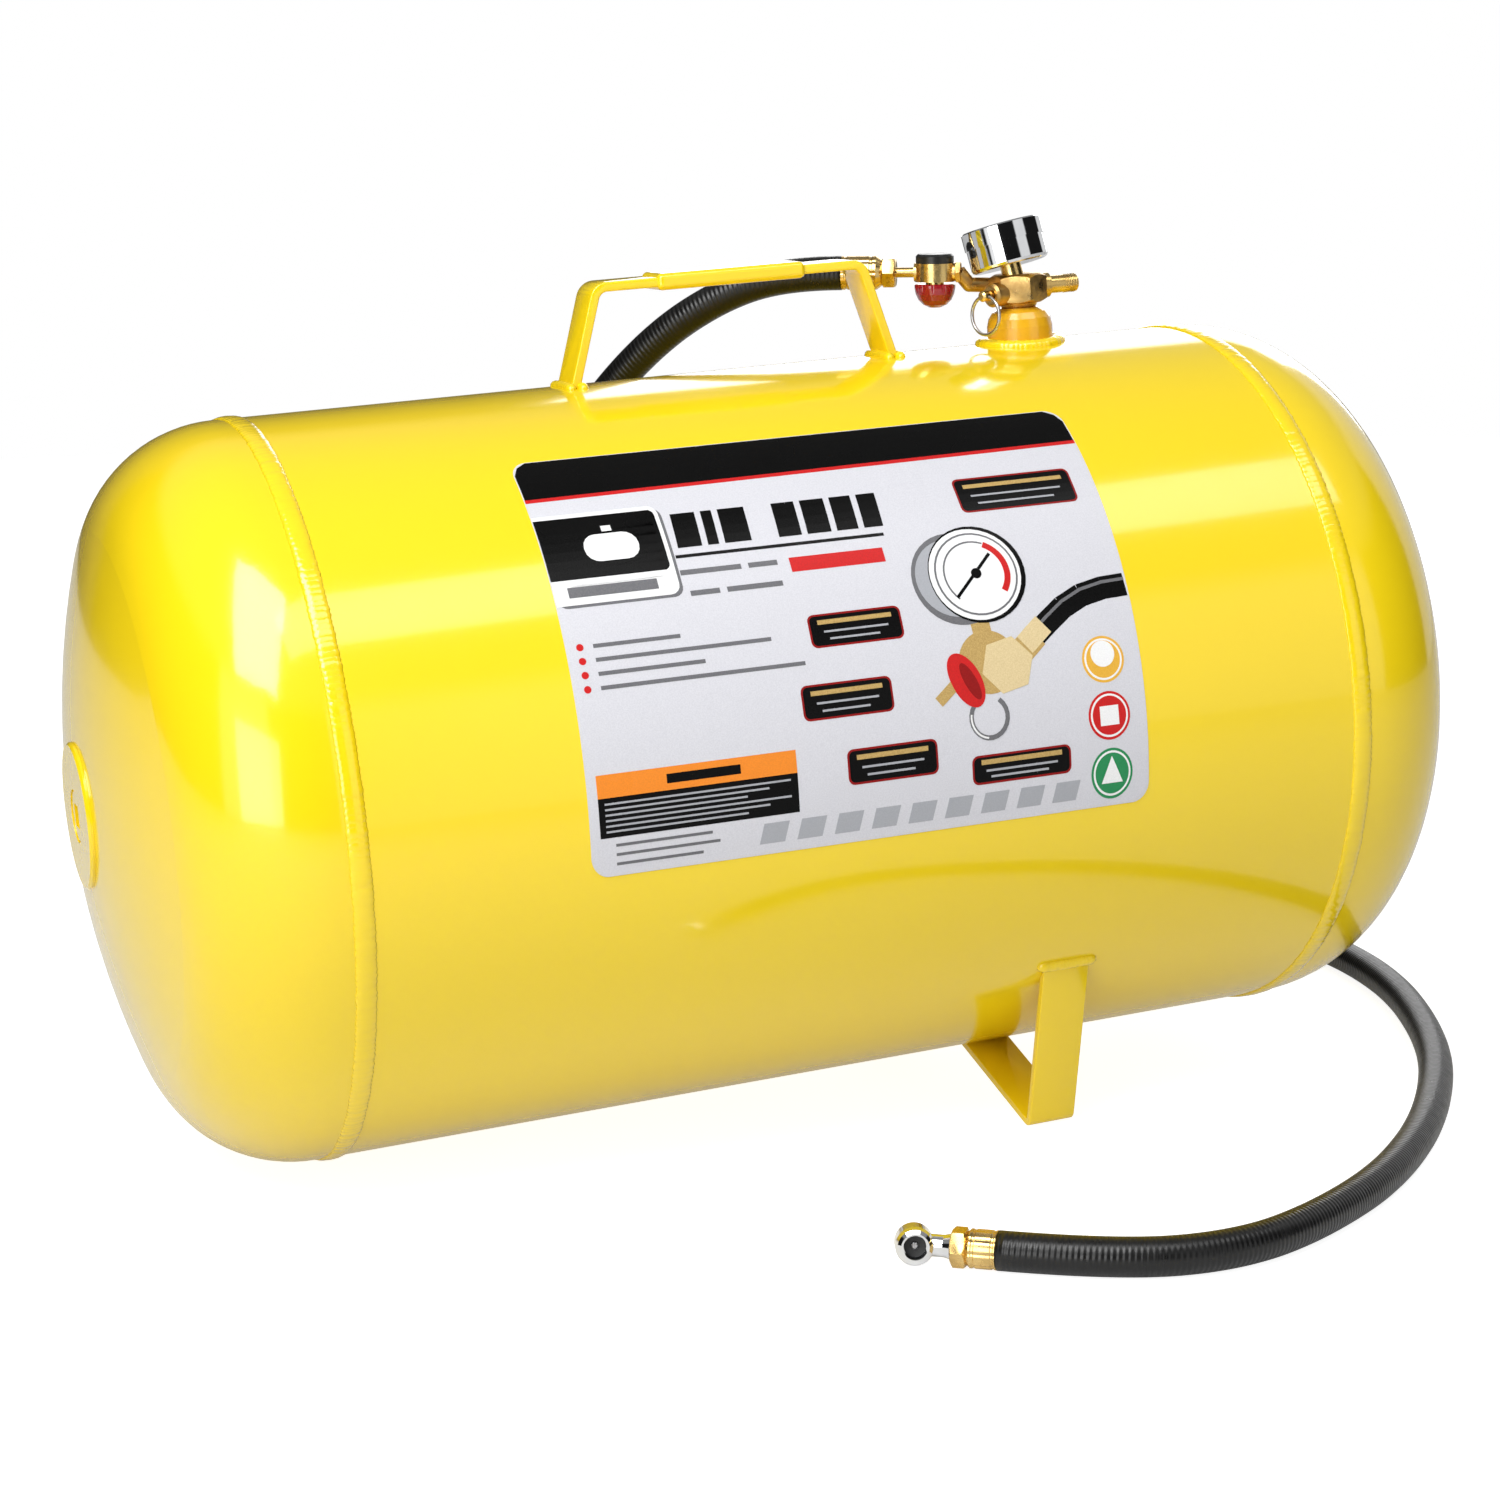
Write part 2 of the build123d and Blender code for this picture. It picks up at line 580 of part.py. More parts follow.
def spindle_seal():
    """Soft ring in the gland."""
    return tube(2.6, 1.7, -3.6, -2.6)


def valve_cap():
    """Black cap on top of the body."""
    return turned((0, 4.0), (8.3, 4.0), (8.3, 7.0), (7.3, 8.0), (0, 8.0))


def seat_disc():
    """Washer and its holder, at the end of the spindle."""
    return rod(2.3, -0.2, 1.0)


def valve_stem():
    """The threaded spindle."""
    return rod(1.6, -13.0, -0.25)


def valve_knob():
    """Domed knob below the body, with scallops round it."""
    dome = turned((0, -15.4), (2.6, -15.2), (5.2, -14.0), (7.2, -12.0), (8.4, -9.4), (8.9, -6.6),
                  (8.9, -5.4), (8.2, -4.9), (0, -4.9))
    dome = dome - rod(4.5, -7.0, -4) - rod(1.6, -13.0, -4)
    for turn in range(12):
        dome = dome - Rot(0, 0, 30 * turn) * Pos(10.0, 0, -10) * Cylinder(1.5, 20)
    return dome


def hose_barb():
    """Thin nipple from the valve through the nut and into the hose."""
    return turned((1.2, 31.0), (2.2, 31.0), (2.2, FERRULE_END - 2), (1.2, FERRULE_END - 2))


def hose_nut():
    """Hexagonal nut on the nipple."""
    return hexagon(NUT_AF, NUT_LOW, NUT_HIGH) - rod(2.2, 30, 50)


def hose_ferrule_inlet():
    """Crimped sleeve that ends at the hose."""
    start = NUT_HIGH
    return turned((2.2, start), (5.6, start), (HOSE_R + 0.1, start + 2.5), (HOSE_R + 0.1,
                  FERRULE_END), (HOSE_BORE_R, FERRULE_END), (HOSE_BORE_R, start + 3), (2.2, start + 3))


def hose():
    """The free hose: straight runs joined by tangent arcs."""
    points = [Vector(*p) for p in HOSE_ROUTE]
    runs = [(b - a).length for a, b in zip(points, points[1:])]
    radii = []
    for i in range(1, len(points) - 1):
        before, after = (points[i] - points[i - 1]), (points[i + 1] - points[i])
        turn = acos(before.dot(after) / before.length / after.length)
        radii.append(0.45 * min(runs[i - 1], runs[i]) / tan(turn / 2))
    print("hose runs", [round(r, 1) for r in runs])
    print("hose radii", [round(r, 1) for r in radii])
    path = FilletPolyline(*points, radius=radii)
    ring = Plane(origin=path @ 0, z_dir=path % 0) * (Circle(HOSE_R) - Circle(HOSE_BORE_R))
    tube_solid = sweep(ring, path=path)
    expected = pi * (HOSE_R ** 2 - HOSE_BORE_R ** 2) * path.length
    print("hose length", round(path.length, 1), "volume ratio", round(tube_solid.volume / expected, 5))
    return tube_solid


# ---- the hose's far end, along the tail's own Z --------------------------------------------------
def tail_place():
    """Frame at the hose's end, Z away from the hose."""
    return facing(HOSE_ROUTE[-1], TAIL_DIR)


def hose_ferrule_outlet():
    """Crimped sleeve on the hose's end."""
    return turned((HOSE_BORE_R, 0), (HOSE_R - 0.1, 0), (HOSE_R - 0.1, 10.2), (6.2, TAIL_HEX[0]),
                  (2.6, TAIL_HEX[0]), (2.6, 9.0), (HOSE_BORE_R, 9.0))


def hose_tail_hex():
    """Hexagonal adapter between the sleeve and the chuck."""
    return hexagon(13.6, *TAIL_HEX) - rod(2.6, 0, 30)


def chuck_place():
    """Frame of the chuck's head: Z out of its mouth, which faces the label's side."""
    end = HOSE_ROUTE[-1]
    return facing(tuple(e + CHUCK_AT * d for e, d in zip(end, TAIL_DIR)), MOUTH_DIR)


def chuck_body():
    """Chromed ball-foot chuck: a head with a mouth, and the neck that carries it."""
    head = turned((0, -7.4), (4.2, -7.4), (6.4, -6.0), (CHUCK_R, -3.6), (CHUCK_R, 4.6), (6.6, 7.0),
                  (MOUTH_R + 0.7, 8.0), (0, 8.0))
    neck = tail_place() * turned((0, TAIL_HEX[1]), (5.0, TAIL_HEX[1]), (4.2, 20.5), (4.2, CHUCK_AT),
                                 (0, CHUCK_AT))
    body = chuck_place() * head + neck
    hollow = rod(MOUTH_R, MOUTH_DEPTH_Z, 9) + rod(SEAL_R, 1.0, 5) + rod(3.3, -4.2, 2)
    return body - chuck_place() * hollow - tail_place() * rod(2.0, TAIL_HEX[1] - 1, CHUCK_AT - 2)


def chuck_seal():
    """Soft washer in the mouth, which a tyre valve is pressed against."""
    return tube(SEAL_R, 1.5, 1.0, 3.2)


def chuck_pin():
    """Pin that opens a tyre valve, with its sealing head behind the washer."""
    return turned((0, -1.6), (2.9, -1.6), (2.9, 0.6), (1.3, 0.8), (1.3, 4.0), (0.9, 4.4), (0, 4.4))


def chuck_spring():
    """Spring behind the pin's head."""
    return coil(2.3, 0.35, -4.2, -1.6, 1.6)


# ---- assembly ---------------------------------------------------------------------------------
def tank_nodes():
    """Every piece built in the tank's frame, by node name."""
    relief, fill, gauge, chain, valve = (relief_place(), fill_place(), gauge_place(),
                                         chain_place(0), valve_place())
    front = foot_front()
    return {
        "shell_wrapper": shell_wrapper(),
        "head_left": head_left(),
        "head_right": head_solid(),
        "girth_weld_left": girth_weld(-SEAM_X),
        "girth_weld_right": girth_weld(SEAM_X),
        "seam_weld": seam_weld(),
        "end_boss": end_boss(),
        "end_plug": end_plug(),
        "handle_strap": handle_strap(),
        "handle_grip": handle_grip(),
        "handle_welds": Compound(handle_welds()),
        "foot_front": front,
        "foot_back": mirror(front, Plane.XZ),
        "foot_welds": Compound(foot_welds()),
        "label": label(),
        "top_bung": top_bung(),
        "bung_weld": bung_weld(),
        "manifold_body": manifold_body(),
        "relief_body": relief * relief_body(),
        "relief_cap": relief * relief_cap(),
        "relief_stem": relief * relief_stem(),
        "relief_spring": relief * relief_spring(),
        "relief_ring": relief * relief_ring(),
        "fill_valve_body": fill * fill_valve_body(),
        "fill_core": fill * fill_core(),
        "fill_retainer": fill * fill_retainer(),
        "fill_pin": fill * fill_pin(),
        "fill_spring": fill * fill_spring(),
        "gauge_socket": gauge * gauge_socket(),
        "gauge_case": gauge * gauge_case(),
        "gauge_bezel": gauge * gauge_bezel(),
        "gauge_lens": gauge * gauge_lens(),
        "gauge_dial": gauge * gauge_dial(),
        "gauge_frame": gauge * gauge_frame(),
        "gauge_sector": gauge * gauge_sector(),
        "gauge_pointer": gauge * gauge_pointer(),
        "bourdon_tube": gauge * bourdon_tube(),
        "outlet_elbow": outlet_elbow(),
        "valve_body": valve * valve_body(),
        "valve_cap": valve * valve_cap(),
        "packing_nut": valve * packing_nut(),
        "spindle_seal": valve * spindle_seal(),
        "seat_disc": valve * seat_disc(),
        "valve_stem": valve * valve_stem(),
        "valve_knob": valve * valve_knob(),
        "hose_barb": chain * hose_barb(),
        "hose_nut": chain * hose_nut(),
        "hose_ferrule_inlet": chain * hose_ferrule_inlet(),
    }


def floor_nodes():
    """Every piece built where it lies on the standing object, by node name."""
    tail, chuck = tail_place(), chuck_place()
    return {
        "hose": hose(),
        "hose_ferrule_outlet": tail * hose_ferrule_outlet(),
        "hose_tail_hex": tail * hose_tail_hex(),
        "chuck_body": chuck_body(),
        "chuck_seal": chuck * chuck_seal(),
        "chuck_pin": chuck * chuck_pin(),
        "chuck_spring": chuck * chuck_spring(),
    }


def print_joints():
    """Joint places and axes on the standing object, in metres, for the record."""
    frames = {"relief": relief_place(), "fill": fill_place(), "gauge": gauge_place(),
              "valve": valve_place()}
    for name, place in frames.items():
        standing = Plane(STANCE * place)
        origin, axis, cross = standing.origin, standing.z_dir, standing.x_dir
        print(name, "origin", [round(v / 1000, 6) for v in origin], "z", [round(v, 6) for v in axis],
              "x", [round(v, 6) for v in cross])


def main():
    """Write one STEP file per node."""
    os.makedirs("parts", exist_ok=True)
    pieces = {name: STANCE * piece for name, piece in tank_nodes().items()}
    pieces.update(floor_nodes())
    for name, piece in pieces.items():
        export_step(piece, f"parts/{name}.step")
    print("tilt", round(TILT, 3), "lift", round(LIFT, 3), "nodes", len(pieces))
    print_joints()


main()
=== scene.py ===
"""Looks of a portable air receiver tank, built round its CAD frame."""
import json
import logging
import math
from dataclasses import dataclass, field
from enum import Enum
from typing import Sequence

import bmesh
import bpy
from mathutils import Matrix, Vector

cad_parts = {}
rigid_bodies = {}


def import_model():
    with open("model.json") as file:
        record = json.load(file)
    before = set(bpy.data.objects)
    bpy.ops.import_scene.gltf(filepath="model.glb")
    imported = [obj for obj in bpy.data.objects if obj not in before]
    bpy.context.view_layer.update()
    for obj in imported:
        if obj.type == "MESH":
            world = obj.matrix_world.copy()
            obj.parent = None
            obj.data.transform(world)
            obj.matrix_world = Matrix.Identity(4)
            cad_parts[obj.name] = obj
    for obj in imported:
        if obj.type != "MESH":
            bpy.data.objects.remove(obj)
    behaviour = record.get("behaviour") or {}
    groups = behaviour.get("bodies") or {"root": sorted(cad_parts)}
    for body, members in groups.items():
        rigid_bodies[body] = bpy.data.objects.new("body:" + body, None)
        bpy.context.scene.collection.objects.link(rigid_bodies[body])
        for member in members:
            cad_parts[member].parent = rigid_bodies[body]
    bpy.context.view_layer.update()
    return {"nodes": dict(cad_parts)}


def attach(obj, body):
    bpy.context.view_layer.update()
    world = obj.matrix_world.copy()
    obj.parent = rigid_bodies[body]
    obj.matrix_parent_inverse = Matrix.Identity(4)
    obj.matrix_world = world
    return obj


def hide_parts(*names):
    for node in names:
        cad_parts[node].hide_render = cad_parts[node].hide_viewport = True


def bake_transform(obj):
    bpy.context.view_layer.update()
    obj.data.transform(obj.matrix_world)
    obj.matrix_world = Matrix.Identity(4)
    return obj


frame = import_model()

LOG = logging.getLogger("air_receiver")
MM = 0.001
NOISE_SPAN = (0.3, 0.7)
SHARP_EDGE = math.radians(32)
MERGE = 2e-6

Point = tuple[float, float, float]
Colour = tuple[float, float, float]
Outline = Sequence[tuple[float, float]]


# ---- the tank's stance ------------------------------------------------------------------------
@dataclass(frozen=True)
class Stance:
    """How the tank's own frame, X along its axis, stands on the floor.

    Attributes:
        rise: How much higher the feet's corners reach than the left girth weld, in metres.
        run: Distance between those two supports along the tank.
        shift: Slide along X that centres the tank.
        lift: Height of the frame's origin above the floor.
    """

    rise: float = 0.0157
    run: float = 0.2894
    shift: float = 0.00202
    lift: float = 0.164859

    def matrix(self) -> Matrix:
        """Transform from the tank's frame to the standing object."""
        lean = Matrix.Rotation(-math.atan2(self.rise, self.run), 4, "Y")
        return Matrix.Translation((self.shift, 0.0, self.lift)) @ lean


STANCE = Stance().matrix()
TANK_RADIUS = 0.1524
TANK_BODY = "tank"


# ---- shader graphs ----------------------------------------------------------------------------
class ShaderGraph:
    """A material under construction, with short calls for the nodes that finishes share."""

    def __init__(self, name: str) -> None:
        """Start a material.

        Args:
            name: The finish's name.
        """
        self.material = bpy.data.materials.new(name)
        self.material.use_nodes = True
        self.tree = self.material.node_tree
        self.surface = self.tree.nodes["Principled BSDF"]

    def put(self, socket: str, value: float | Colour) -> None:
        """Set a constant on the surface shader.

        Args:
            socket: The input's name.
            value: A number, or a colour without its alpha.
        """
        four = (*value, 1.0) if isinstance(value, tuple) else value
        self.surface.inputs[socket].default_value = four

    def add(self, kind: str, **settings: object) -> bpy.types.Node:
        """Add a node.

        Args:
            kind: The node's type.
            **settings: Its properties.

        Returns:
            The node.
        """
        node = self.tree.nodes.new(kind)
        for name, value in settings.items():
            setattr(node, name, value)
        return node

    def join(self, source: bpy.types.NodeSocket, target: bpy.types.NodeSocket) -> None:
        """Link two sockets."""
        self.tree.links.new(source, target)

    def feed(self, source: bpy.types.NodeSocket, socket: str) -> None:
        """Link a socket to one of the surface shader's inputs."""
        self.join(source, self.surface.inputs[socket])

    def coordinates(self, output: str = "Object") -> bpy.types.NodeSocket:
        """The piece's own coordinates, in metres, or its UV map."""
        return self.add("ShaderNodeTexCoord").outputs[output]

    def noise(self, scale: float, detail: float = 3.0) -> bpy.types.NodeSocket:
        """Fractal noise over the piece.

        Args:
            scale: Features per metre.
            detail: Octaves.

        Returns:
            The noise's value socket.
        """
        texture = self.add("ShaderNodeTexNoise")
        texture.inputs["Scale"].default_value = scale
        texture.inputs["Detail"].default_value = detail
        self.join(self.coordinates(), texture.inputs["Vector"])
        return texture.outputs["Fac"]

    def ramp(self, factor: bpy.types.NodeSocket, low: float, high: float,
             from_value: float, to_value: float) -> bpy.types.NodeSocket:
        """Map a factor's middle range onto two values.

        Args:
            factor: Socket to read.
            low: Factor that gives from_value.
            high: Factor that gives to_value.
            from_value: Result at and below low.
            to_value: Result at and above high.

        Returns:
            The mapped value.
        """
        node = self.add("ShaderNodeMapRange")
        node.inputs["From Min"].default_value = low
        node.inputs["From Max"].default_value = high
        node.inputs["To Min"].default_value = from_value
        node.inputs["To Max"].default_value = to_value
        self.join(factor, node.inputs["Value"])
        return node.outputs["Result"]

    def vary(self, scale: float, low: float, high: float) -> bpy.types.NodeSocket:
        """A value that wanders between two limits over the piece.

        Args:
            scale: Features per metre.
            low: The lower limit.
            high: The upper limit.

        Returns:
            The value.
        """
        return self.ramp(self.noise(scale), *NOISE_SPAN, low, high)

    def blend(self, factor: bpy.types.NodeSocket, first: Colour,
              second: Colour) -> bpy.types.NodeSocket:
        """Blend two colours.

        Args:
            factor: The second colour's share.
            first: The colour at 0.
            second: The colour at 1.

        Returns:
            The blended colour.
        """
        node = self.add("ShaderNodeMix", data_type="RGBA")
        self.join(factor, node.inputs["Factor"])
        for socket in (s for s in node.inputs if s.type == "RGBA" and s.name in "AB"):
            socket.default_value = (*(first if socket.name == "A" else second), 1.0)
        return next(s for s in node.outputs if s.type == "RGBA")

    def bump(self, height: bpy.types.NodeSocket, distance: float, strength: float = 1.0) -> None:
        """Add relief to the surface, on top of any relief it has.

        Args:
            height: Relief's height, 0 to 1.
            distance: Height in metres at 1.
            strength: Share of the relief that shows.
        """
        node = self.add("ShaderNodeBump")
        node.inputs["Distance"].default_value = distance
        node.inputs["Strength"].default_value = strength
        self.join(height, node.inputs["Height"])
        normal = self.surface.inputs["Normal"]
        if normal.is_linked:
            self.join(normal.links[0].from_socket, node.inputs["Normal"])
        self.join(node.outputs["Normal"], normal)


# ---- finishes ---------------------------------------------------------------------------------
@dataclass(frozen=True)
class Finish:
    """One finish of the object.

    Attributes:
        name: The material's name.
        slot: The record's material slot.
        colour: Its main colour, linear.
        roughness: Its mean roughness.
    """

    name: str
    slot: str
    colour: Colour
    roughness: float

    def shade(self, graph: ShaderGraph) -> None:
        """Add the finish's own nodes; each kind of finish has its own."""
        raise NotImplementedError

    def material(self) -> bpy.types.Material:
        """The finish's material, built once."""
        known = bpy.data.materials.get(self.name)
        if known is not None:
            return known
        graph = ShaderGraph(self.name)
        self.shade(graph)
        return graph.material


@dataclass(frozen=True)
class Enamel(Finish):
    """Sprayed gloss enamel.

    Attributes:
        warm: Its colour where the coat is thin.
        thin: Share of that colour in the thinnest patches.
        uneven: How much rougher the dullest patches are.
        gloss: Weight of the clear layer on top.
        waves: Height of the coat's slow waves, in metres.
        peel: Height of its orange peel, in metres.
    """

    warm: Colour = (0.80, 0.47, 0.01)
    thin: float = 0.10
    uneven: float = 0.04
    gloss: float = 0.65
    waves: float = 0.0003
    peel: float = 0.00003

    def shade(self, graph: ShaderGraph) -> None:
        """Colour drifts slowly; two sizes of relief show in the reflections."""
        drift = graph.ramp(graph.noise(5.0, 3.0), 0.35, 0.75, 0.0, self.thin)
        graph.feed(graph.blend(drift, self.colour, self.warm), "Base Color")
        graph.feed(graph.vary(60.0, self.roughness, self.roughness + self.uneven), "Roughness")
        graph.put("Specular IOR Level", 0.5)
        graph.put("Coat Weight", self.gloss)
        graph.put("Coat Roughness", 0.07)
        graph.bump(graph.noise(14.0, 1.0), self.waves, 0.3)
        graph.bump(graph.noise(420.0, 2.0), self.peel, 0.25)


@dataclass(frozen=True)
class Metal(Finish):
    """Bare or plated metal.

    Attributes:
        tarnish: The colour of its duller patches.
        grain: Features per metre of its fine relief.
        relief: The fine relief's height in metres.
    """

    tarnish: Colour = (0.5, 0.5, 0.5)
    grain: float = 900.0
    relief: float = 0.00001

    def shade(self, graph: ShaderGraph) -> None:
        """Patches of tarnish, uneven roughness and a fine grain."""
        patches = graph.ramp(graph.noise(110.0, 4.0), 0.42, 0.72, 0.0, 0.7)
        graph.feed(graph.blend(patches, self.colour, self.tarnish), "Base Color")
        graph.feed(graph.vary(260.0, self.roughness * 0.7, self.roughness * 1.5), "Roughness")
        graph.put("Metallic", 1.0)
        graph.bump(graph.noise(self.grain), self.relief)


@dataclass(frozen=True)
class Moulded(Finish):
    """Moulded plastic or a rubber part, with a fine moulding grain.

    Attributes:
        grain: Features per metre of its relief.
        relief: The relief's height in metres.
        coat: Weight of the moulded skin's gloss.
        shade_of_dark: Brightness of its darkest tone, as a share of its colour.
    """

    grain: float = 1400.0
    relief: float = 0.00001
    coat: float = 0.0
    shade_of_dark: float = 0.82

    def shade(self, graph: ShaderGraph) -> None:
        """A slight drift of tone and a fine grain."""
        dark = tuple(self.shade_of_dark * part for part in self.colour)
        graph.feed(graph.blend(graph.vary(90.0, 0.0, 1.0), self.colour, dark), "Base Color")
        graph.feed(graph.vary(300.0, self.roughness, self.roughness + 0.1), "Roughness")
        graph.put("Coat Weight", self.coat)
        graph.bump(graph.noise(self.grain), self.relief)


@dataclass(frozen=True)
class HoseCover(Finish):
    """Black hose cover that keeps the print of the tape it was cured in.

    Attributes:
        wraps: Turns of tape per metre of hose.
        relief: Depth of a tape line in metres.
        dust: The colour of its dusty patches.
    """

    wraps: float = 480.0
    relief: float = 0.00014
    dust: Colour = (0.010, 0.010, 0.010)

    def shade(self, graph: ShaderGraph) -> None:
        """Spiral ribs follow the hose's own UV map: u round it, v along it in metres."""
        mapping = graph.add("ShaderNodeMapping")
        mapping.inputs["Scale"].default_value = (1.0, self.wraps, 1.0)
        graph.join(graph.coordinates("UV"), mapping.inputs["Vector"])
        ribs = graph.add("ShaderNodeTexWave", bands_direction="DIAGONAL", wave_profile="SIN")
        ribs.inputs["Scale"].default_value = math.pi / 5.0
        ribs.inputs["Distortion"].default_value = 0.35
        ribs.inputs["Detail"].default_value = 1.0
        graph.join(mapping.outputs["Vector"], ribs.inputs["Vector"])
        dusty = graph.ramp(graph.noise(140.0, 4.0), 0.45, 0.8, 0.0, 0.5)
        graph.feed(graph.blend(dusty, self.colour, self.dust), "Base Color")
        graph.feed(graph.vary(220.0, self.roughness, self.roughness + 0.12), "Roughness")
        graph.bump(ribs.outputs["Fac"], self.relief)
        graph.bump(graph.noise(1500.0), 0.00001)


@dataclass(frozen=True)
class Vinyl(Finish):
    """Printed vinyl sheet: a flat ink with a trace of screen grain under satin film.

    Attributes:
        second: The ink's other tone in the grain.
    """

    second: Colour = (0.7, 0.7, 0.7)

    def shade(self, graph: ShaderGraph) -> None:
        """Screen grain in the ink and faint waves in the film."""
        grain = graph.ramp(graph.noise(1900.0, 2.0), 0.35, 0.65, 0.0, 1.0)
        graph.feed(graph.blend(grain, self.colour, self.second), "Base Color")
        graph.feed(graph.vary(40.0, self.roughness, self.roughness + 0.06), "Roughness")
        graph.put("Specular IOR Level", 0.1)
        graph.bump(graph.noise(30.0, 1.0), 0.0002, 0.25)


@dataclass(frozen=True)
class ClearWindow(Finish):
    """Clear moulded window."""

    def shade(self, graph: ShaderGraph) -> None:
        """See-through, with faint haze from handling."""
        graph.put("Base Color", self.colour)
        graph.put("Transmission Weight", 1.0)
        graph.put("IOR", 1.2)
        haze = graph.ramp(graph.noise(80.0), 0.4, 0.8, self.roughness, self.roughness + 0.05)
        graph.feed(haze, "Roughness")
        graph.bump(graph.noise(60.0), 0.00002)


class Look(Enum):
    """Every finish on the object."""

    ENAMEL = Enamel("yellow_enamel", "yellow_paint", (0.93, 0.68, 0.008), 0.13)
    BUNG = Enamel("bung_enamel", "yellow_paint", (0.80, 0.43, 0.012), 0.24,
                  (0.66, 0.30, 0.010))
    BRASS = Metal("turned_brass", "brass", (0.83, 0.60, 0.24), 0.22, (0.55, 0.34, 0.10),
                  700.0, 0.00002)
    CAST_BRASS = Metal("forged_brass", "brass", (0.66, 0.44, 0.16), 0.34, (0.36, 0.20, 0.07),
                       1100.0, 0.00008)
    CHROME = Metal("chrome_plate", "chrome", (0.86, 0.87, 0.88), 0.05, (0.74, 0.75, 0.77),
                   300.0, 0.000006)
    STEEL = Metal("drawn_steel", "steel", (0.60, 0.60, 0.62), 0.28, (0.38, 0.37, 0.36),
                  800.0, 0.00001)
    HOSE = HoseCover("taped_hose_cover", "hose_rubber", (0.004, 0.004, 0.004), 0.27)
    RED_KNOB = Moulded("red_knob_plastic", "red_plastic", (0.34, 0.006, 0.014), 0.16, coat=0.8)
    BLACK_CAP = Moulded("black_cap_plastic", "black_plastic", (0.012, 0.012, 0.012), 0.3)
    SEAL = Moulded("seal_rubber", "seal_rubber", (0.02, 0.02, 0.021), 0.55, relief=0.00003)
    LENS = ClearWindow("gauge_window", "lens", (0.96, 0.98, 0.98), 0.02)
    DIAL = Moulded("dial_paint", "dial_white", (0.82, 0.82, 0.80), 0.5)
    NEEDLE = Moulded("needle_paint", "pointer_black", (0.015, 0.015, 0.015), 0.45)
    SHEET = Vinyl("label_film", "label_print", (0.66, 0.66, 0.70), 0.26, (0.60, 0.60, 0.64))


class Ink(Enum):
    """Inks printed on the label."""

    BLACK = Vinyl("ink_black", "label_print", (0.002, 0.002, 0.002), 0.24, (0.004, 0.004, 0.004))
    RED = Vinyl("ink_red", "label_print", (0.62, 0.02, 0.02), 0.26, (0.52, 0.02, 0.02))
    MAROON = Vinyl("ink_maroon", "label_print", (0.30, 0.012, 0.012), 0.26, (0.25, 0.01, 0.01))
    ORANGE = Vinyl("ink_orange", "label_print", (0.88, 0.27, 0.03), 0.26, (0.80, 0.24, 0.03))
    AMBER = Vinyl("ink_amber", "label_print", (0.80, 0.45, 0.06), 0.26, (0.74, 0.40, 0.05))
    GREEN = Vinyl("ink_green", "label_print", (0.03, 0.27, 0.10), 0.26, (0.03, 0.24, 0.09))
    WHITE = Vinyl("ink_white", "label_print", (0.88, 0.88, 0.88), 0.24, (0.82, 0.82, 0.82))
    GREY = Vinyl("ink_grey", "label_print", (0.17, 0.17, 0.18), 0.26, (0.14, 0.14, 0.15))
    PALE = Vinyl("ink_pale", "label_print", (0.40, 0.41, 0.44), 0.26, (0.37, 0.38, 0.41))
    GOLD = Vinyl("ink_gold", "label_print", (0.55, 0.38, 0.14), 0.26, (0.44, 0.29, 0.10))
    TAN = Vinyl("ink_tan", "label_print", (0.74, 0.60, 0.34), 0.26, (0.66, 0.52, 0.28))


# ---- meshes -----------------------------------------------------------------------------------
def add_object(name: str, mesh: bpy.types.Mesh, finish: Finish, body: str = TANK_BODY,
               replaced: Sequence[str] = (),
               stretch: tuple[str, Vector, Vector] | None = None) -> bpy.types.Object:
    """Put a finished mesh into the scene.

    Args:
        name: The piece's name.
        mesh: Its mesh, in the standing object's frame.
        finish: What it is finished in.
        body: The CAD body that it rides on.
        replaced: CAD nodes that it stands for.
        stretch: For a spring, the body of its far end and both ends' places; these values are not
            used, and a given stretch only leaves the piece on no body, with its place baked in.

    Returns:
        The new object.
    """
    mesh.materials.clear()
    mesh.materials.append(finish.material())
    piece = bpy.data.objects.new(name, mesh)
    bpy.context.collection.objects.link(piece)
    if stretch is None:
        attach(piece, body)
    else:
        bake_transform(piece)
    if replaced:
        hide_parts(*replaced)
    LOG.info("piece %s on %s: %d faces", name, body, len(mesh.polygons))
    return piece


def mesh_from(name: str, build: bmesh.types.BMesh, place: Matrix | None = None,
              smooth: bool = True) -> bpy.types.Mesh:
    """Turn a working mesh into a stored one.

    Args:
        name: The mesh's name.
        build: The working mesh, which is freed.
        place: Where to move it.
        smooth: Whether its faces are shaded smooth.

    Returns:
        The mesh.
    """
    if place is not None:
        build.transform(place)
    mesh = bpy.data.meshes.new(name)
    build.to_mesh(mesh)
    build.free()
    mesh.polygons.foreach_set("use_smooth", [smooth] * len(mesh.polygons))
    return mesh


def evaluated_mesh(holder: bpy.types.Object) -> bpy.types.Mesh:
    """Turn an object and its modifiers into a plain mesh.

    Args:
        holder: The object, which is removed.

    Returns:
        The mesh.
    """
    depsgraph = bpy.context.evaluated_depsgraph_get()
    mesh = bpy.data.meshes.new_from_object(holder.evaluated_get(depsgraph))
    holder.modifiers.clear()
    bpy.data.objects.remove(holder)
    return mesh


def mark_sharp(build: bmesh.types.BMesh) -> None:
    """Keep a working mesh's sharp edges out of its smooth shading."""
    for edge in build.edges:
        edge.smooth = edge.calc_face_angle(0.0) < SHARP_EDGE


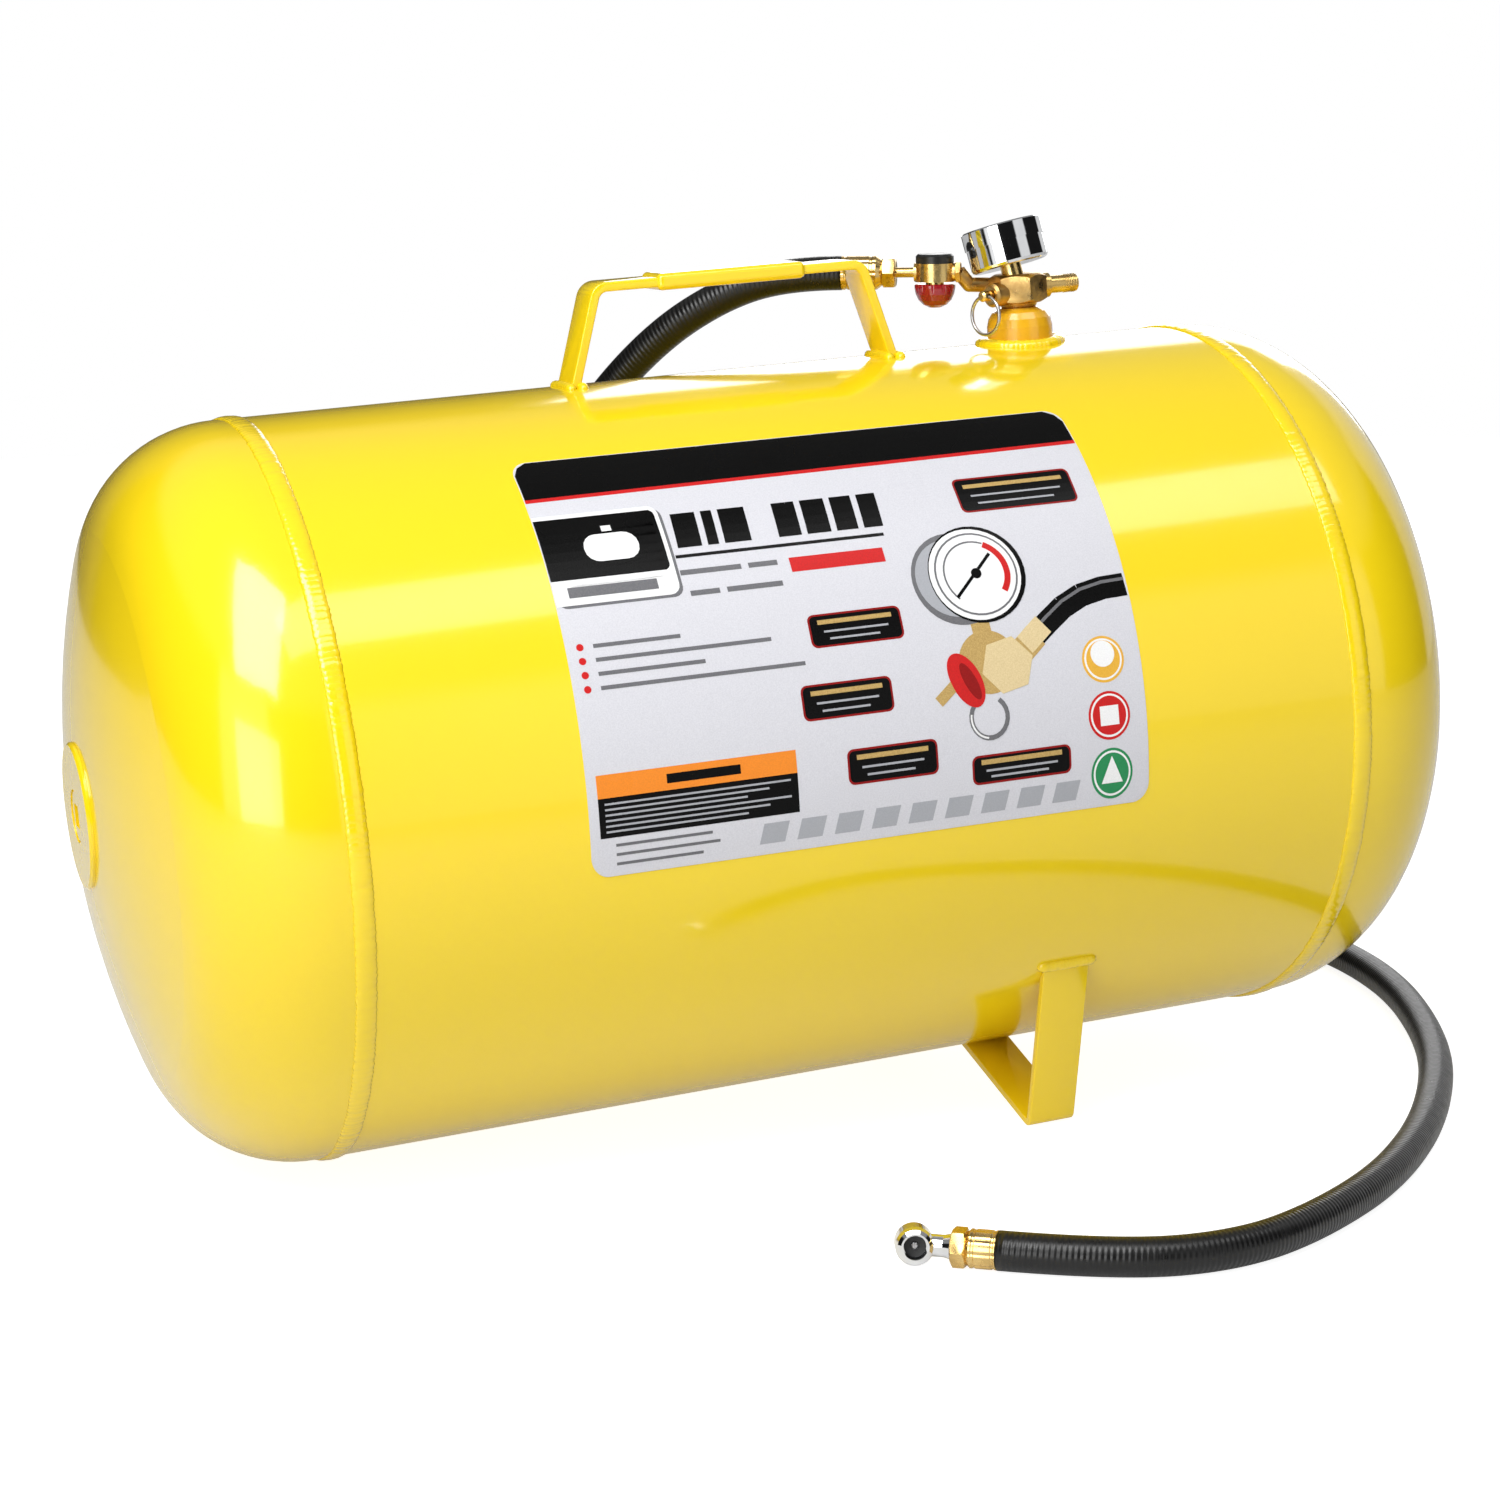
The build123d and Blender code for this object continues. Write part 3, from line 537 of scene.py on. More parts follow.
def merged_copy(node: str, distance: float = MERGE) -> bmesh.types.BMesh:
    """A working copy of a CAD node's loose triangles, joined into one skin.

    Args:
        node: The CAD node's name.
        distance: How near corners are merged.

    Returns:
        The working mesh.
    """
    build = bmesh.new()
    build.from_mesh(frame["nodes"][node].data)
    bmesh.ops.remove_doubles(build, verts=build.verts, dist=distance)
    return build


def lathe(name: str, outline: Outline, place: Matrix, steps: int = 96, lobes: int = 0,
          dent: float = 0.0) -> bpy.types.Mesh:
    """Turn a closed outline of (radius, height) round Z.

    Args:
        name: The mesh's name.
        outline: Corners of the section, in metres.
        place: Where the turned piece stands.
        steps: Faces round the axis.
        lobes: Number of jaw marks pressed in along the piece.
        dent: Depth of a jaw mark, as a share of the radius.

    Returns:
        The turned mesh, with sharp corners kept.
    """
    build = bmesh.new()
    rings = []
    for step in range(steps):
        turn = 2 * math.pi * step / steps
        squeeze = 1 - dent * max(0.0, math.cos(lobes * turn)) ** 4
        rings.append([build.verts.new((r * squeeze * math.cos(turn),
                                       r * squeeze * math.sin(turn), z)) for r, z in outline])
    for this, following in zip(rings, rings[1:] + rings[:1]):
        for i in range(len(outline)):
            j = (i + 1) % len(outline)
            build.faces.new((this[i], following[i], following[j], this[j]))
    bmesh.ops.remove_doubles(build, verts=build.verts, dist=1e-7)
    bmesh.ops.recalc_face_normals(build, faces=build.faces)
    mark_sharp(build)
    return mesh_from(name, build, place)


def frame_at(origin: Point, axis: Point, cross: Point | None = None) -> Matrix:
    """A frame with Z along an axis.

    Args:
        origin: Its origin, in metres.
        axis: Its Z direction.
        cross: Its X direction, or None for any.

    Returns:
        The frame's matrix.
    """
    up = Vector(axis).normalized()
    if cross is None:
        turn = up.to_track_quat("Z", "Y").to_matrix().to_4x4()
        return Matrix.Translation(origin) @ turn
    side = Vector(cross)
    side = (side - up * side.dot(up)).normalized()
    turn = Matrix((side, up.cross(side), up)).transposed().to_4x4()
    return Matrix.Translation(origin) @ turn


# ---- geometry nodes ---------------------------------------------------------------------------
class GeometryGraph:
    """A geometry node tree under construction, with named inputs."""

    def __init__(self, name: str) -> None:
        """Start a tree that takes a geometry and gives a geometry."""
        self.tree = bpy.data.node_groups.new(name, "GeometryNodeTree")
        self.ids: dict[str, str] = {}
        self.entry = self.tree.nodes.new("NodeGroupInput")
        self.exit = self.tree.nodes.new("NodeGroupOutput")
        self.ask("Geometry", "NodeSocketGeometry")
        self.tree.interface.new_socket("Geometry", in_out="OUTPUT",
                                       socket_type="NodeSocketGeometry")

    def ask(self, name: str, kind: str) -> bpy.types.NodeSocket:
        """Add a named input.

        Args:
            name: Its name.
            kind: Its socket's type.

        Returns:
            The socket that gives its value.
        """
        made = self.tree.interface.new_socket(name, in_out="INPUT", socket_type=kind)
        self.ids[name] = made.identifier
        return self.entry.outputs[name]

    def add(self, kind: str, links: dict[str, object] | None = None,
            **settings: object) -> bpy.types.Node:
        """Add a node.

        Args:
            kind: The node's type.
            links: Sockets or constants for its inputs, by name.
            **settings: Its properties.

        Returns:
            The node.
        """
        node = self.tree.nodes.new(kind)
        for name, value in settings.items():
            setattr(node, name, value)
        for name, value in (links or {}).items():
            if isinstance(value, bpy.types.NodeSocket):
                self.tree.links.new(value, node.inputs[name])
            else:
                node.inputs[name].default_value = value
        return node

    def vector(self, operation: str, first: object, second: object) -> bpy.types.NodeSocket:
        """A vector operation on two values.

        Args:
            operation: The operation's name.
            first: A socket or a constant.
            second: A socket or a constant.

        Returns:
            The result's socket.
        """
        node = self.tree.nodes.new("ShaderNodeVectorMath")
        node.operation = operation
        for socket, value in zip(node.inputs, (first, second)):
            if isinstance(value, bpy.types.NodeSocket):
                self.tree.links.new(value, socket)
            elif value is not None:
                socket.default_value = value
        return node.outputs["Vector"]

    def close(self, geometry: bpy.types.NodeSocket, material: bpy.types.NodeSocket) -> None:
        """End the tree in plain geometry with its material.

        Args:
            geometry: What the tree made.
            material: What it is dressed in.
        """
        real = self.add("GeometryNodeRealizeInstances", {"Geometry": geometry})
        smooth = self.add("GeometryNodeSetShadeSmooth", {"Geometry": real.outputs[0]})
        dressed = self.add("GeometryNodeSetMaterial", {"Geometry": smooth.outputs[0],
                                                       "Material": material})
        self.tree.links.new(dressed.outputs[0], self.exit.inputs[0])

    def run(self, name: str, mesh: bpy.types.Mesh, values: dict[str, object]) -> bpy.types.Mesh:
        """Run the tree on a mesh.

        Args:
            name: The result's name.
            mesh: The geometry that goes in.
            values: The inputs' values, by name.

        Returns:
            The plain mesh that comes out.
        """
        holder = bpy.data.objects.new(name, mesh)
        bpy.context.collection.objects.link(holder)
        modifier = holder.modifiers.new(name, "NODES")
        modifier.node_group = self.tree
        for key, value in values.items():
            modifier[self.ids[key]] = value
        result = evaluated_mesh(holder)
        result.name = name
        return result


def bead_graph() -> GeometryGraph:
    """Weld bead: overlapping ripples along a line that lies on the shell.

    Returns:
        The tree, whose inputs are Pitch, Half Width, Height, Seed and Material.
    """
    graph = GeometryGraph("weld_bead")
    pitch = graph.ask("Pitch", "NodeSocketFloat")
    width = graph.ask("Half Width", "NodeSocketFloat")
    height = graph.ask("Height", "NodeSocketFloat")
    seed = graph.ask("Seed", "NodeSocketInt")
    material = graph.ask("Material", "NodeSocketMaterial")
    line = graph.add("GeometryNodeMeshToCurve", {"Mesh": graph.entry.outputs["Geometry"]})
    steps = graph.add("GeometryNodeResampleCurve", {"Curve": line.outputs[0], "Length": pitch},
                      mode="LENGTH")
    ripple = graph.add("GeometryNodeMeshUVSphere", {"Segments": 12, "Rings": 6, "Radius": 1.0})
    tangent = graph.add("GeometryNodeInputTangent")
    position = graph.add("GeometryNodeInputPosition")
    outward = graph.vector("MULTIPLY", position.outputs[0], (0.0, 1.0, 1.0))
    forward = graph.add("FunctionNodeAlignRotationToVector", {"Vector": tangent.outputs[0]},
                        axis="X")
    upright = graph.add("FunctionNodeAlignRotationToVector",
                        {"Rotation": forward.outputs[0], "Vector": outward},
                        axis="Z", pivot_axis="X")
    size = graph.add("ShaderNodeCombineXYZ", {"X": pitch, "Y": width, "Z": height})
    wobble = graph.add("FunctionNodeRandomValue", {"Min": (1.8, 0.92, 0.90),
                                                   "Max": (2.2, 1.0, 1.0), "Seed": seed},
                       data_type="FLOAT_VECTOR")
    scale = graph.vector("MULTIPLY", size.outputs[0], wobble.outputs[0])
    ripples = graph.add("GeometryNodeInstanceOnPoints",
                        {"Points": steps.outputs[0], "Instance": ripple.outputs[0],
                         "Rotation": upright.outputs[0], "Scale": scale})
    graph.close(ripples.outputs[0], material)
    return graph


def thread_graph() -> GeometryGraph:
    """Screw thread: a three-sided ridge wound round Z.

    Returns:
        The tree, whose inputs are Radius, Turns, Height, Ridge and Material.
    """
    graph = GeometryGraph("screw_thread")
    radius = graph.ask("Radius", "NodeSocketFloat")
    turns = graph.ask("Turns", "NodeSocketFloat")
    height = graph.ask("Height", "NodeSocketFloat")
    ridge = graph.ask("Ridge", "NodeSocketFloat")
    material = graph.ask("Material", "NodeSocketMaterial")
    helix = graph.add("GeometryNodeCurveSpiral", {"Resolution": 28, "Rotations": turns,
                                                  "Start Radius": radius, "End Radius": radius,
                                                  "Height": height})
    section = graph.add("GeometryNodeCurvePrimitiveCircle", {"Resolution": 4, "Radius": ridge})
    wound = graph.add("GeometryNodeCurveToMesh", {"Curve": helix.outputs[0],
                                                  "Profile Curve": section.outputs[0],
                                                  "Fill Caps": True})
    graph.close(wound.outputs[0], material)
    return graph


def scale_graph() -> GeometryGraph:
    """Dial graduation: bars stood along an arc, pointing at its centre.

    Returns:
        The tree, whose inputs are Count, Radius, Start, Sweep, Bar and Material.
    """
    graph = GeometryGraph("dial_graduation")
    count = graph.ask("Count", "NodeSocketInt")
    radius = graph.ask("Radius", "NodeSocketFloat")
    start = graph.ask("Start", "NodeSocketFloat")
    sweep = graph.ask("Sweep", "NodeSocketFloat")
    bar = graph.ask("Bar", "NodeSocketVector")
    material = graph.ask("Material", "NodeSocketMaterial")
    arc = graph.add("GeometryNodeCurveArc", {"Resolution": count, "Radius": radius,
                                             "Start Angle": start, "Sweep Angle": sweep})
    block = graph.add("GeometryNodeMeshCube", {"Size": bar})
    tangent = graph.add("GeometryNodeInputTangent")
    turned = graph.add("FunctionNodeAlignRotationToVector", {"Vector": tangent.outputs[0]},
                       axis="Y")
    bars = graph.add("GeometryNodeInstanceOnPoints",
                     {"Points": arc.outputs[0], "Instance": block.outputs[0],
                      "Rotation": turned.outputs[0]})
    graph.close(bars.outputs[0], material)
    return graph


# ---- tank -------------------------------------------------------------------------------------
@dataclass
class BeadLine:
    """One line of weld on the shell, in the tank's frame.

    Attributes:
        name: The bead's name.
        points: Points along it, in metres.
        closed: Whether it ends where it starts.
        half_width: Half of its width.
        height: How proud it stands.
        pitch: Spacing of its ripples.
    """

    name: str
    points: list[Vector]
    closed: bool
    half_width: float
    height: float
    pitch: float

    def mesh(self) -> bpy.types.Mesh:
        """The line as a chain of edges.

        Returns:
            A mesh with no faces.
        """
        count = len(self.points)
        edges = [(i, i + 1) for i in range(count - 1)]
        if self.closed:
            edges.append((count - 1, 0))
        chain = bpy.data.meshes.new(self.name + "_line")
        chain.from_pydata([tuple(p) for p in self.points], edges, [])
        return chain


@dataclass
class Welds:
    """Every weld on the tank. A ripple is half a bead's width, its height and its pitch.

    Attributes:
        seam_x: Distance of each girth weld from the tank's middle.
        lap_turn: Place of the lap weld round the shell, from the top.
        lap_reach: Half of the lap weld's length.
        strap_half: Half of the handle strap's width.
        strap_middle: The handle's middle along the tank.
        strap_inner: Distance from there to a leg's inner face.
        strap_wall: Thickness of a leg.
        strap_gap: How far a leg's beads stand off its faces.
        foot_x: Middle of the foot beads along the tank.
        foot_half: Half of a foot bead's length.
        foot_meet: Where a foot meets the shell, across and up.
        bung_x: The bung's place along the tank.
        bung_ring: Radius of its bead.
        radius: The shell's radius.
        girth: Ripple of the girth welds.
        lap: Ripple of the lap weld.
        strap: Ripple of the handle's welds.
        foot: Ripple of the feet's welds.
        bung: Ripple of the bung's weld.
    """

    seam_x: float = 0.212
    lap_turn: float = math.radians(-150)
    lap_reach: float = 0.203
    strap_half: float = 0.0098
    strap_middle: float = 0.001
    strap_inner: float = 0.0694
    strap_wall: float = 0.00418
    strap_gap: float = 0.0006
    foot_x: float = 0.0878
    foot_half: float = 0.0100
    foot_meet: tuple[float, float] = (-0.1205, -0.0933)
    bung_x: float = 0.137
    bung_ring: float = 0.0166
    radius: float = TANK_RADIUS
    girth: Point = (0.0045, 0.0012, 0.0026)
    lap: Point = (0.0019, 0.0010, 0.0018)
    strap: Point = (0.0026, 0.0026, 0.0018)
    foot: Point = (0.0028, 0.0026, 0.0018)
    bung: Point = (0.0034, 0.0030, 0.0022)

    def ring(self, x: float) -> list[Vector]:
        """Points round the shell.

        Args:
            x: Their place along the tank.

        Returns:
            The points.
        """
        turns = [2 * math.pi * i / 180 for i in range(180)]
        return [Vector((x, self.radius * math.cos(t), self.radius * math.sin(t))) for t in turns]

    def across(self, x: float) -> list[Vector]:
        """Points across a handle leg's foot.

        Args:
            x: Their place along the tank.

        Returns:
            The points.
        """
        steps = [self.strap_half * (i / 3 - 1) for i in range(7)]
        return [Vector((x, y, math.sqrt(self.radius ** 2 - y ** 2))) for y in steps]

    def round_bung(self) -> list[Vector]:
        """Points on the shell round the bung.

        Returns:
            The points.
        """
        points = []
        for i in range(48):
            turn = 2 * math.pi * i / 48
            y = self.bung_ring * math.sin(turn)
            points.append(Vector((self.bung_x + self.bung_ring * math.cos(turn), y,
                                  math.sqrt(self.radius ** 2 - y ** 2))))
        return points

    def lines(self) -> dict[str, list[BeadLine]]:
        """Weld lines by the CAD node that they stand for.

        Returns:
            The lines, in the order in which they are laid.
        """
        lap_y, lap_z = -math.sin(self.lap_turn), math.cos(self.lap_turn)
        lap_line = [Vector((x * self.lap_reach, lap_y * self.radius, lap_z * self.radius))
                    for x in (-1, -0.5, 0, 0.5, 1)]
        legs = []
        outer = self.strap_inner + self.strap_wall
        for side in (-1, 1):
            for reach in (self.strap_inner - self.strap_gap, outer + self.strap_gap):
                legs.append(BeadLine("handle_bead", self.across(self.strap_middle + side * reach),
                                     False, *self.strap))
        feet = []
        for side in (1, -1):
            y, z = self.foot_meet
            ends = [Vector((self.foot_x + s * self.foot_half, side * y, z)) for s in (-1, 0, 1)]
            feet.append(BeadLine("foot_bead", ends, False, *self.foot))
        return {
            "girth_weld_left": [BeadLine("girth_bead", self.ring(-self.seam_x), True,
                                         *self.girth)],
            "girth_weld_right": [BeadLine("girth_bead", self.ring(self.seam_x), True,
                                          *self.girth)],
            "seam_weld": [BeadLine("lap_bead", lap_line, False, *self.lap)],
            "handle_welds": legs,
            "foot_welds": feet,
            "bung_weld": [BeadLine("bung_bead", self.round_bung(), True, *self.bung)],
        }

    def build(self) -> None:
        """Lay the beads and finish them with the tank's enamel."""
        graph = bead_graph()
        finish = Look.ENAMEL.value
        for seed, (node, lines) in enumerate(self.lines().items()):
            joined = bmesh.new()
            for line in lines:
                laid = graph.run(line.name, line.mesh(), {
                    "Pitch": line.pitch, "Half Width": line.half_width, "Height": line.height,
                    "Seed": seed, "Material": finish.material()})
                joined.from_mesh(laid)
            add_object(node + "_bead", mesh_from(node + "_bead", joined, STANCE), finish,
                       replaced=[node])


@dataclass
class SoftEdges:
    """CAD pieces shown with the small rounded edges that bending and cutting leave.

    Attributes:
        width: Each piece's edge radius in metres, by node name.
        looks: Each piece's finish, by node name.
        sharp: Angle past which an edge is rounded.
        flat: Angle up to which neighbouring triangles count as one face.
        sliver: Distance within which corners of a pole are merged.
    """

    width: dict[str, float] = field(default_factory=lambda: {
        "handle_strap": 0.0007, "foot_front": 0.0006, "foot_back": 0.0006,
        "manifold_body": 0.0005, "hose_nut": 0.0004, "hose_tail_hex": 0.0004,
    })
    looks: dict[str, Look] = field(default_factory=lambda: {
        "handle_strap": Look.ENAMEL, "foot_front": Look.ENAMEL, "foot_back": Look.ENAMEL,
        "manifold_body": Look.CAST_BRASS, "hose_nut": Look.BRASS, "hose_tail_hex": Look.BRASS,
    })
    sharp: float = math.radians(38)
    flat: float = math.radians(0.6)
    sliver: float = 0.00002

    def rounded(self, node: str) -> bpy.types.Mesh:
        """A copy of a node's mesh with its corners rounded.

        Args:
            node: The CAD node's name.

        Returns:
            The rounded mesh.
        """
        build = merged_copy(node)
        bmesh.ops.dissolve_limit(build, angle_limit=self.flat, verts=build.verts,
                                 edges=build.edges)
        holder = bpy.data.objects.new(node + "_soft", mesh_from(node + "_soft", build))
        bpy.context.collection.objects.link(holder)
        bevel = holder.modifiers.new("edges", "BEVEL")
        bevel.limit_method = "ANGLE"
        bevel.angle_limit = self.sharp
        bevel.width = self.width[node]
        bevel.segments = 3
        bevel.harden_normals = True
        bevel.miter_outer = "MITER_ARC"
        return evaluated_mesh(holder)

    def recast(self, node: str) -> bpy.types.Mesh:
        """A copy of a node's mesh with the slivers at its pole merged and its shading made anew.

        Args:
            node: The CAD node's name.

        Returns:
            The clean mesh.
        """
        build = merged_copy(node, self.sliver)
        bmesh.ops.dissolve_degenerate(build, edges=build.edges, dist=self.sliver)
        mark_sharp(build)
        mesh = mesh_from(node + "_smooth", build)
        stored = mesh.attributes.get("custom_normal")
        if stored is not None:
            mesh.attributes.remove(stored)
        return mesh

    def build(self) -> None:
        """Show each piece with its rounded copy, and the plain head with a clean one."""
        for node, look in self.looks.items():
            add_object(node + "_soft", self.rounded(node), look.value, replaced=[node])
        add_object("head_right_smooth", self.recast("head_right"), Look.ENAMEL.value,
                   replaced=["head_right"])


@dataclass
class Springs:
    """Coil springs between the fittings and the pins that press them.

    Attributes:
        pressed_by: The pin's body and its direction of travel, by spring.
        wire: Radius of the wire.
    """

    pressed_by: dict[str, tuple[str, Point]] = field(default_factory=lambda: {
        "relief_spring": ("relief_stem", (-0.938313, -0.34202, -0.050904)),
        "fill_spring": ("fill_pin", (-0.998532, 0.0, -0.054171)),
        "chuck_spring": ("chuck_pin", (0.34087, 0.932381, -0.120307)),
    })
    wire: float = 0.0003

    def build(self) -> None:
        """Show each CAD spring as a steel coil of the same shape."""
        for node, (pin, travel) in self.pressed_by.items():
            coil = merged_copy(node)
            way = Vector(travel)
            reach = [vert.co.dot(way) for vert in coil.verts]
            near = way * (min(reach) + self.wire)
            far = way * (max(reach) - self.wire)
            add_object(node + "_coil", mesh_from(node + "_coil", coil), Look.STEEL.value, pin,
                       [node], (TANK_BODY, near, far))


# ---- label ------------------------------------------------------------------------------------
@dataclass
class Label:
    """The sheet's print: flat shapes in millimetres from its middle, wrapped round the shell.

    Attributes:
        middle_x: The sheet's middle along the tank, in metres.
        middle_turn: The sheet's middle round the tank, from the top.
        skew: The sheet's turn on the shell.
        film: Height of the film's face above the tank's axis.
        layer: Thickness of one ink layer.
        band: Tallest face before it is cut to follow the shell, in metres.
        half_width: Half of the sheet's width, in millimetres.
        half_height: Half of its height, in millimetres.
        shapes: What is printed in each ink: a layer number and an outline.
    """

    middle_x: float = -0.0045
    middle_turn: float = math.radians(64.3)
    skew: float = math.radians(-0.5)
    film: float = TANK_RADIUS + 0.00025
    layer: float = 0.00005
    band: float = 0.004
    half_width: float = 118.0
    half_height: float = 84.25
    shapes: dict[Ink, list[tuple[int, Outline]]] = field(default_factory=dict)

    def print_shape(self, ink: Ink, outline: Outline, level: int = 1) -> None:
        """Add one flat shape.

        Args:
            ink: Its ink.
            outline: Its corners, in millimetres.
            level: Its layer, from the film up.
        """
        self.shapes.setdefault(ink, []).append((level, outline))

    def bar(self, ink: Ink, left: float, low: float, right: float, high: float, level: int = 1,
            slant: float = 0.0) -> None:
        """Add a bar.

        Args:
            ink: Its ink.
            left: Its left side.
            low: Its lower side.
            right: Its right side.
            high: Its upper side.
            level: Its layer.
            slant: Shift of its upper side to the right.
        """
        self.print_shape(ink, [(left, low), (right, low), (right + slant, high),
                               (left + slant, high)], level)

    def disc(self, ink: Ink, x: float, y: float, radius: float, level: int = 1,
             squeeze: float = 1.0, turn: float = 0.0) -> None:
        """Add a round or oval patch.

        Args:
            ink: Its ink.
            x: Its middle, across.
            y: Its middle, up.
            radius: Its radius.
            level: Its layer.
            squeeze: Its width as a share of its height.
            turn: Its turn, in radians.
        """
        points = []
        for i in range(36):
            a = 2 * math.pi * i / 36
            u, v = radius * squeeze * math.cos(a), radius * math.sin(a)
            points.append((x + u * math.cos(turn) - v * math.sin(turn),
                           y + u * math.sin(turn) + v * math.cos(turn)))
        self.print_shape(ink, points, level)

    def rounded(self, ink: Ink, left: float, low: float, right: float, high: float,
                corner: float, level: int = 1) -> None:
        """Add a bar with round corners.

        Args:
            ink: Its ink.
            left: Its left side.
            low: Its lower side.
            right: Its right side.
            high: Its upper side.
            corner: Radius of a corner.
            level: Its layer.
        """
        points = []
        corners = ((right - corner, high - corner, 0), (left + corner, high - corner, 90),
                   (left + corner, low + corner, 180), (right - corner, low + corner, 270))
        for x, y, start in corners:
            for i in range(5):
                a = math.radians(start + 22.5 * i)
                points.append((x + corner * math.cos(a), y + corner * math.sin(a)))
        self.print_shape(ink, points, level)

    def stroke(self, ink: Ink, line: Outline, width: float, level: int = 1) -> None:
        """Add a stripe of one width along a bent line.

        Args:
            ink: Its ink.
            line: Points along its middle.
            width: Its width.
            level: Its layer.
        """
        overlap = 0.3
        for (ax, ay), (bx, by) in zip(line, line[1:]):
            run = Vector((bx - ax, by - ay)).normalized()
            px, py = -run.y * width / 2, run.x * width / 2
            ex, ey = run.x * overlap, run.y * overlap
            self.print_shape(ink, [(ax + px - ex, ay + py - ey), (ax - px - ex, ay - py - ey),
                                   (bx - px + ex, by - py + ey), (bx + px + ex, by + py + ey)],
                             level)

    def arc(self, x: float, y: float, radius: float, start: float, end: float) -> Outline:
        """Points on an arc.

        Args:
            x: Its middle, across.
            y: Its middle, up.
            radius: Its radius.
            start: Where it starts, in degrees.
            end: Where it ends, in degrees.

        Returns:
            The points.
        """
        steps = 20
        return [(x + radius * math.cos(math.radians(start + (end - start) * i / steps)),
                 y + radius * math.sin(math.radians(start + (end - start) * i / steps)))
                for i in range(steps + 1)]

    def heading(self) -> None:
        """Band across the top, panel at the left and the bold heading blocks."""
        edge = 0.4
        self.print_shape(Ink.BLACK, [(-self.half_width + edge, 65), (self.half_width - edge, 67),
                                     (self.half_width - edge, 77.5), (115.5, 81.5),
                                     (111.5, self.half_height - edge),
                                     (-111.5, self.half_height - edge), (-115.5, 81.5),
                                     (-self.half_width + edge, 77.5)])
        self.stroke(Ink.RED, [(-117.4, 64.2), (117.4, 66.2)], 1.7)
        self.rounded(Ink.GREY, -117.0, 15.6, -66.4, 55.2, 4)
        self.bar(Ink.WHITE, -117.6, 16.8, -72, 56.4, 2)
        self.rounded(Ink.WHITE, -110, 16.8, -67.6, 56.4, 4, 2)
        self.bar(Ink.BLACK, -117.6, 27.4, -70.8, 54.6, 3)
        self.rounded(Ink.BLACK, -90, 27.4, -69.2, 54.6, 2.5, 3)
        self.rounded(Ink.WHITE, -101, 34, -79, 46, 5.5, 4)
        self.bar(Ink.WHITE, -92, 47, -88, 49.5, 4)
        self.bar(Ink.GREY, -112, 19.8, -76, 24.2, 3)
        for left, right in ((-62, -52), (-49.5, -45), (-42.5, -31.5), (-20, -10.5), (-8, 2),
                            (4.5, 13.5), (16, 24)):
            self.bar(Ink.BLACK, left - 2, 36.0, right - 2, 51.5, slant=1.0)
        self.bar(Ink.BLACK, -66, 31.6, 21, 33.0)
        for left, right in ((-66, -41), (-38, -26)):
            self.bar(Ink.GREY, left, 24.2, right, 26.4)
        for left, right in ((-64, -52), (-49, -26)):
            self.bar(Ink.GREY, left, 15.2, right, 17.4)
        self.bar(Ink.RED, -21, 20.4, 18.5, 26.6)

    def small_print(self) -> None:
        """Bullet lines, the two-colour panel, the grey lines and the small captions."""
        for row, reach in enumerate((-72, -36, -64, -24)):
            y = -0.2 - 5.5 * row
            self.disc(Ink.RED, -112.3, y, 1.45)
            self.bar(Ink.GREY, -107, y - 0.8, reach, y + 0.8)
        self.bar(Ink.ORANGE, -114, -57, -33, -48.6)
        self.bar(Ink.BLACK, -114, -71, -33, -57)
        self.bar(Ink.BLACK, -86, -54.6, -56, -51.2, 2)
        for row in range(6):
            y = -59.2 - 1.95 * row
            self.bar(Ink.PALE, -111.5, y - 0.35, -36 - 9 * (row % 3), y + 0.35, 2)
        for row, reach in enumerate((-69, -66, -73)):
            y = -73.8 - 3.2 * row
            self.bar(Ink.GREY, -108, y - 0.5, reach, y + 0.5)
        for i in range(9):
            self.bar(Ink.PALE, -50 + 15.6 * i, -80.5, -39.5 + 15.6 * i, -73.5, slant=2.2)
        for left, low, right, high in ((57, 37.6, 108.5, 53.6), (-20, -11.6, 19, 1.8),
                                       (-28, -39, 10, -25.4), (-12, -64.2, 26.2, -51.2),
                                       (40.5, -70.4, 83.6, -59.8)):
            self.rounded(Ink.MAROON, left, low, right, high, 2.6)
            self.rounded(Ink.BLACK, left + 0.8, low + 0.8, right - 0.8, high - 0.8, 2.0, 2)
            middle, third = (low + high) / 2, (high - low) / 4
            self.bar(Ink.GOLD, left + 4, middle + third - 0.9, right - 4, middle + third + 0.9, 3)
            self.bar(Ink.PALE, left + 6, middle - 0.9, right - 6, middle - 0.1, 3)
            self.bar(Ink.PALE, left + 8, middle - third - 0.5, right - 10, middle - third + 0.3, 3)

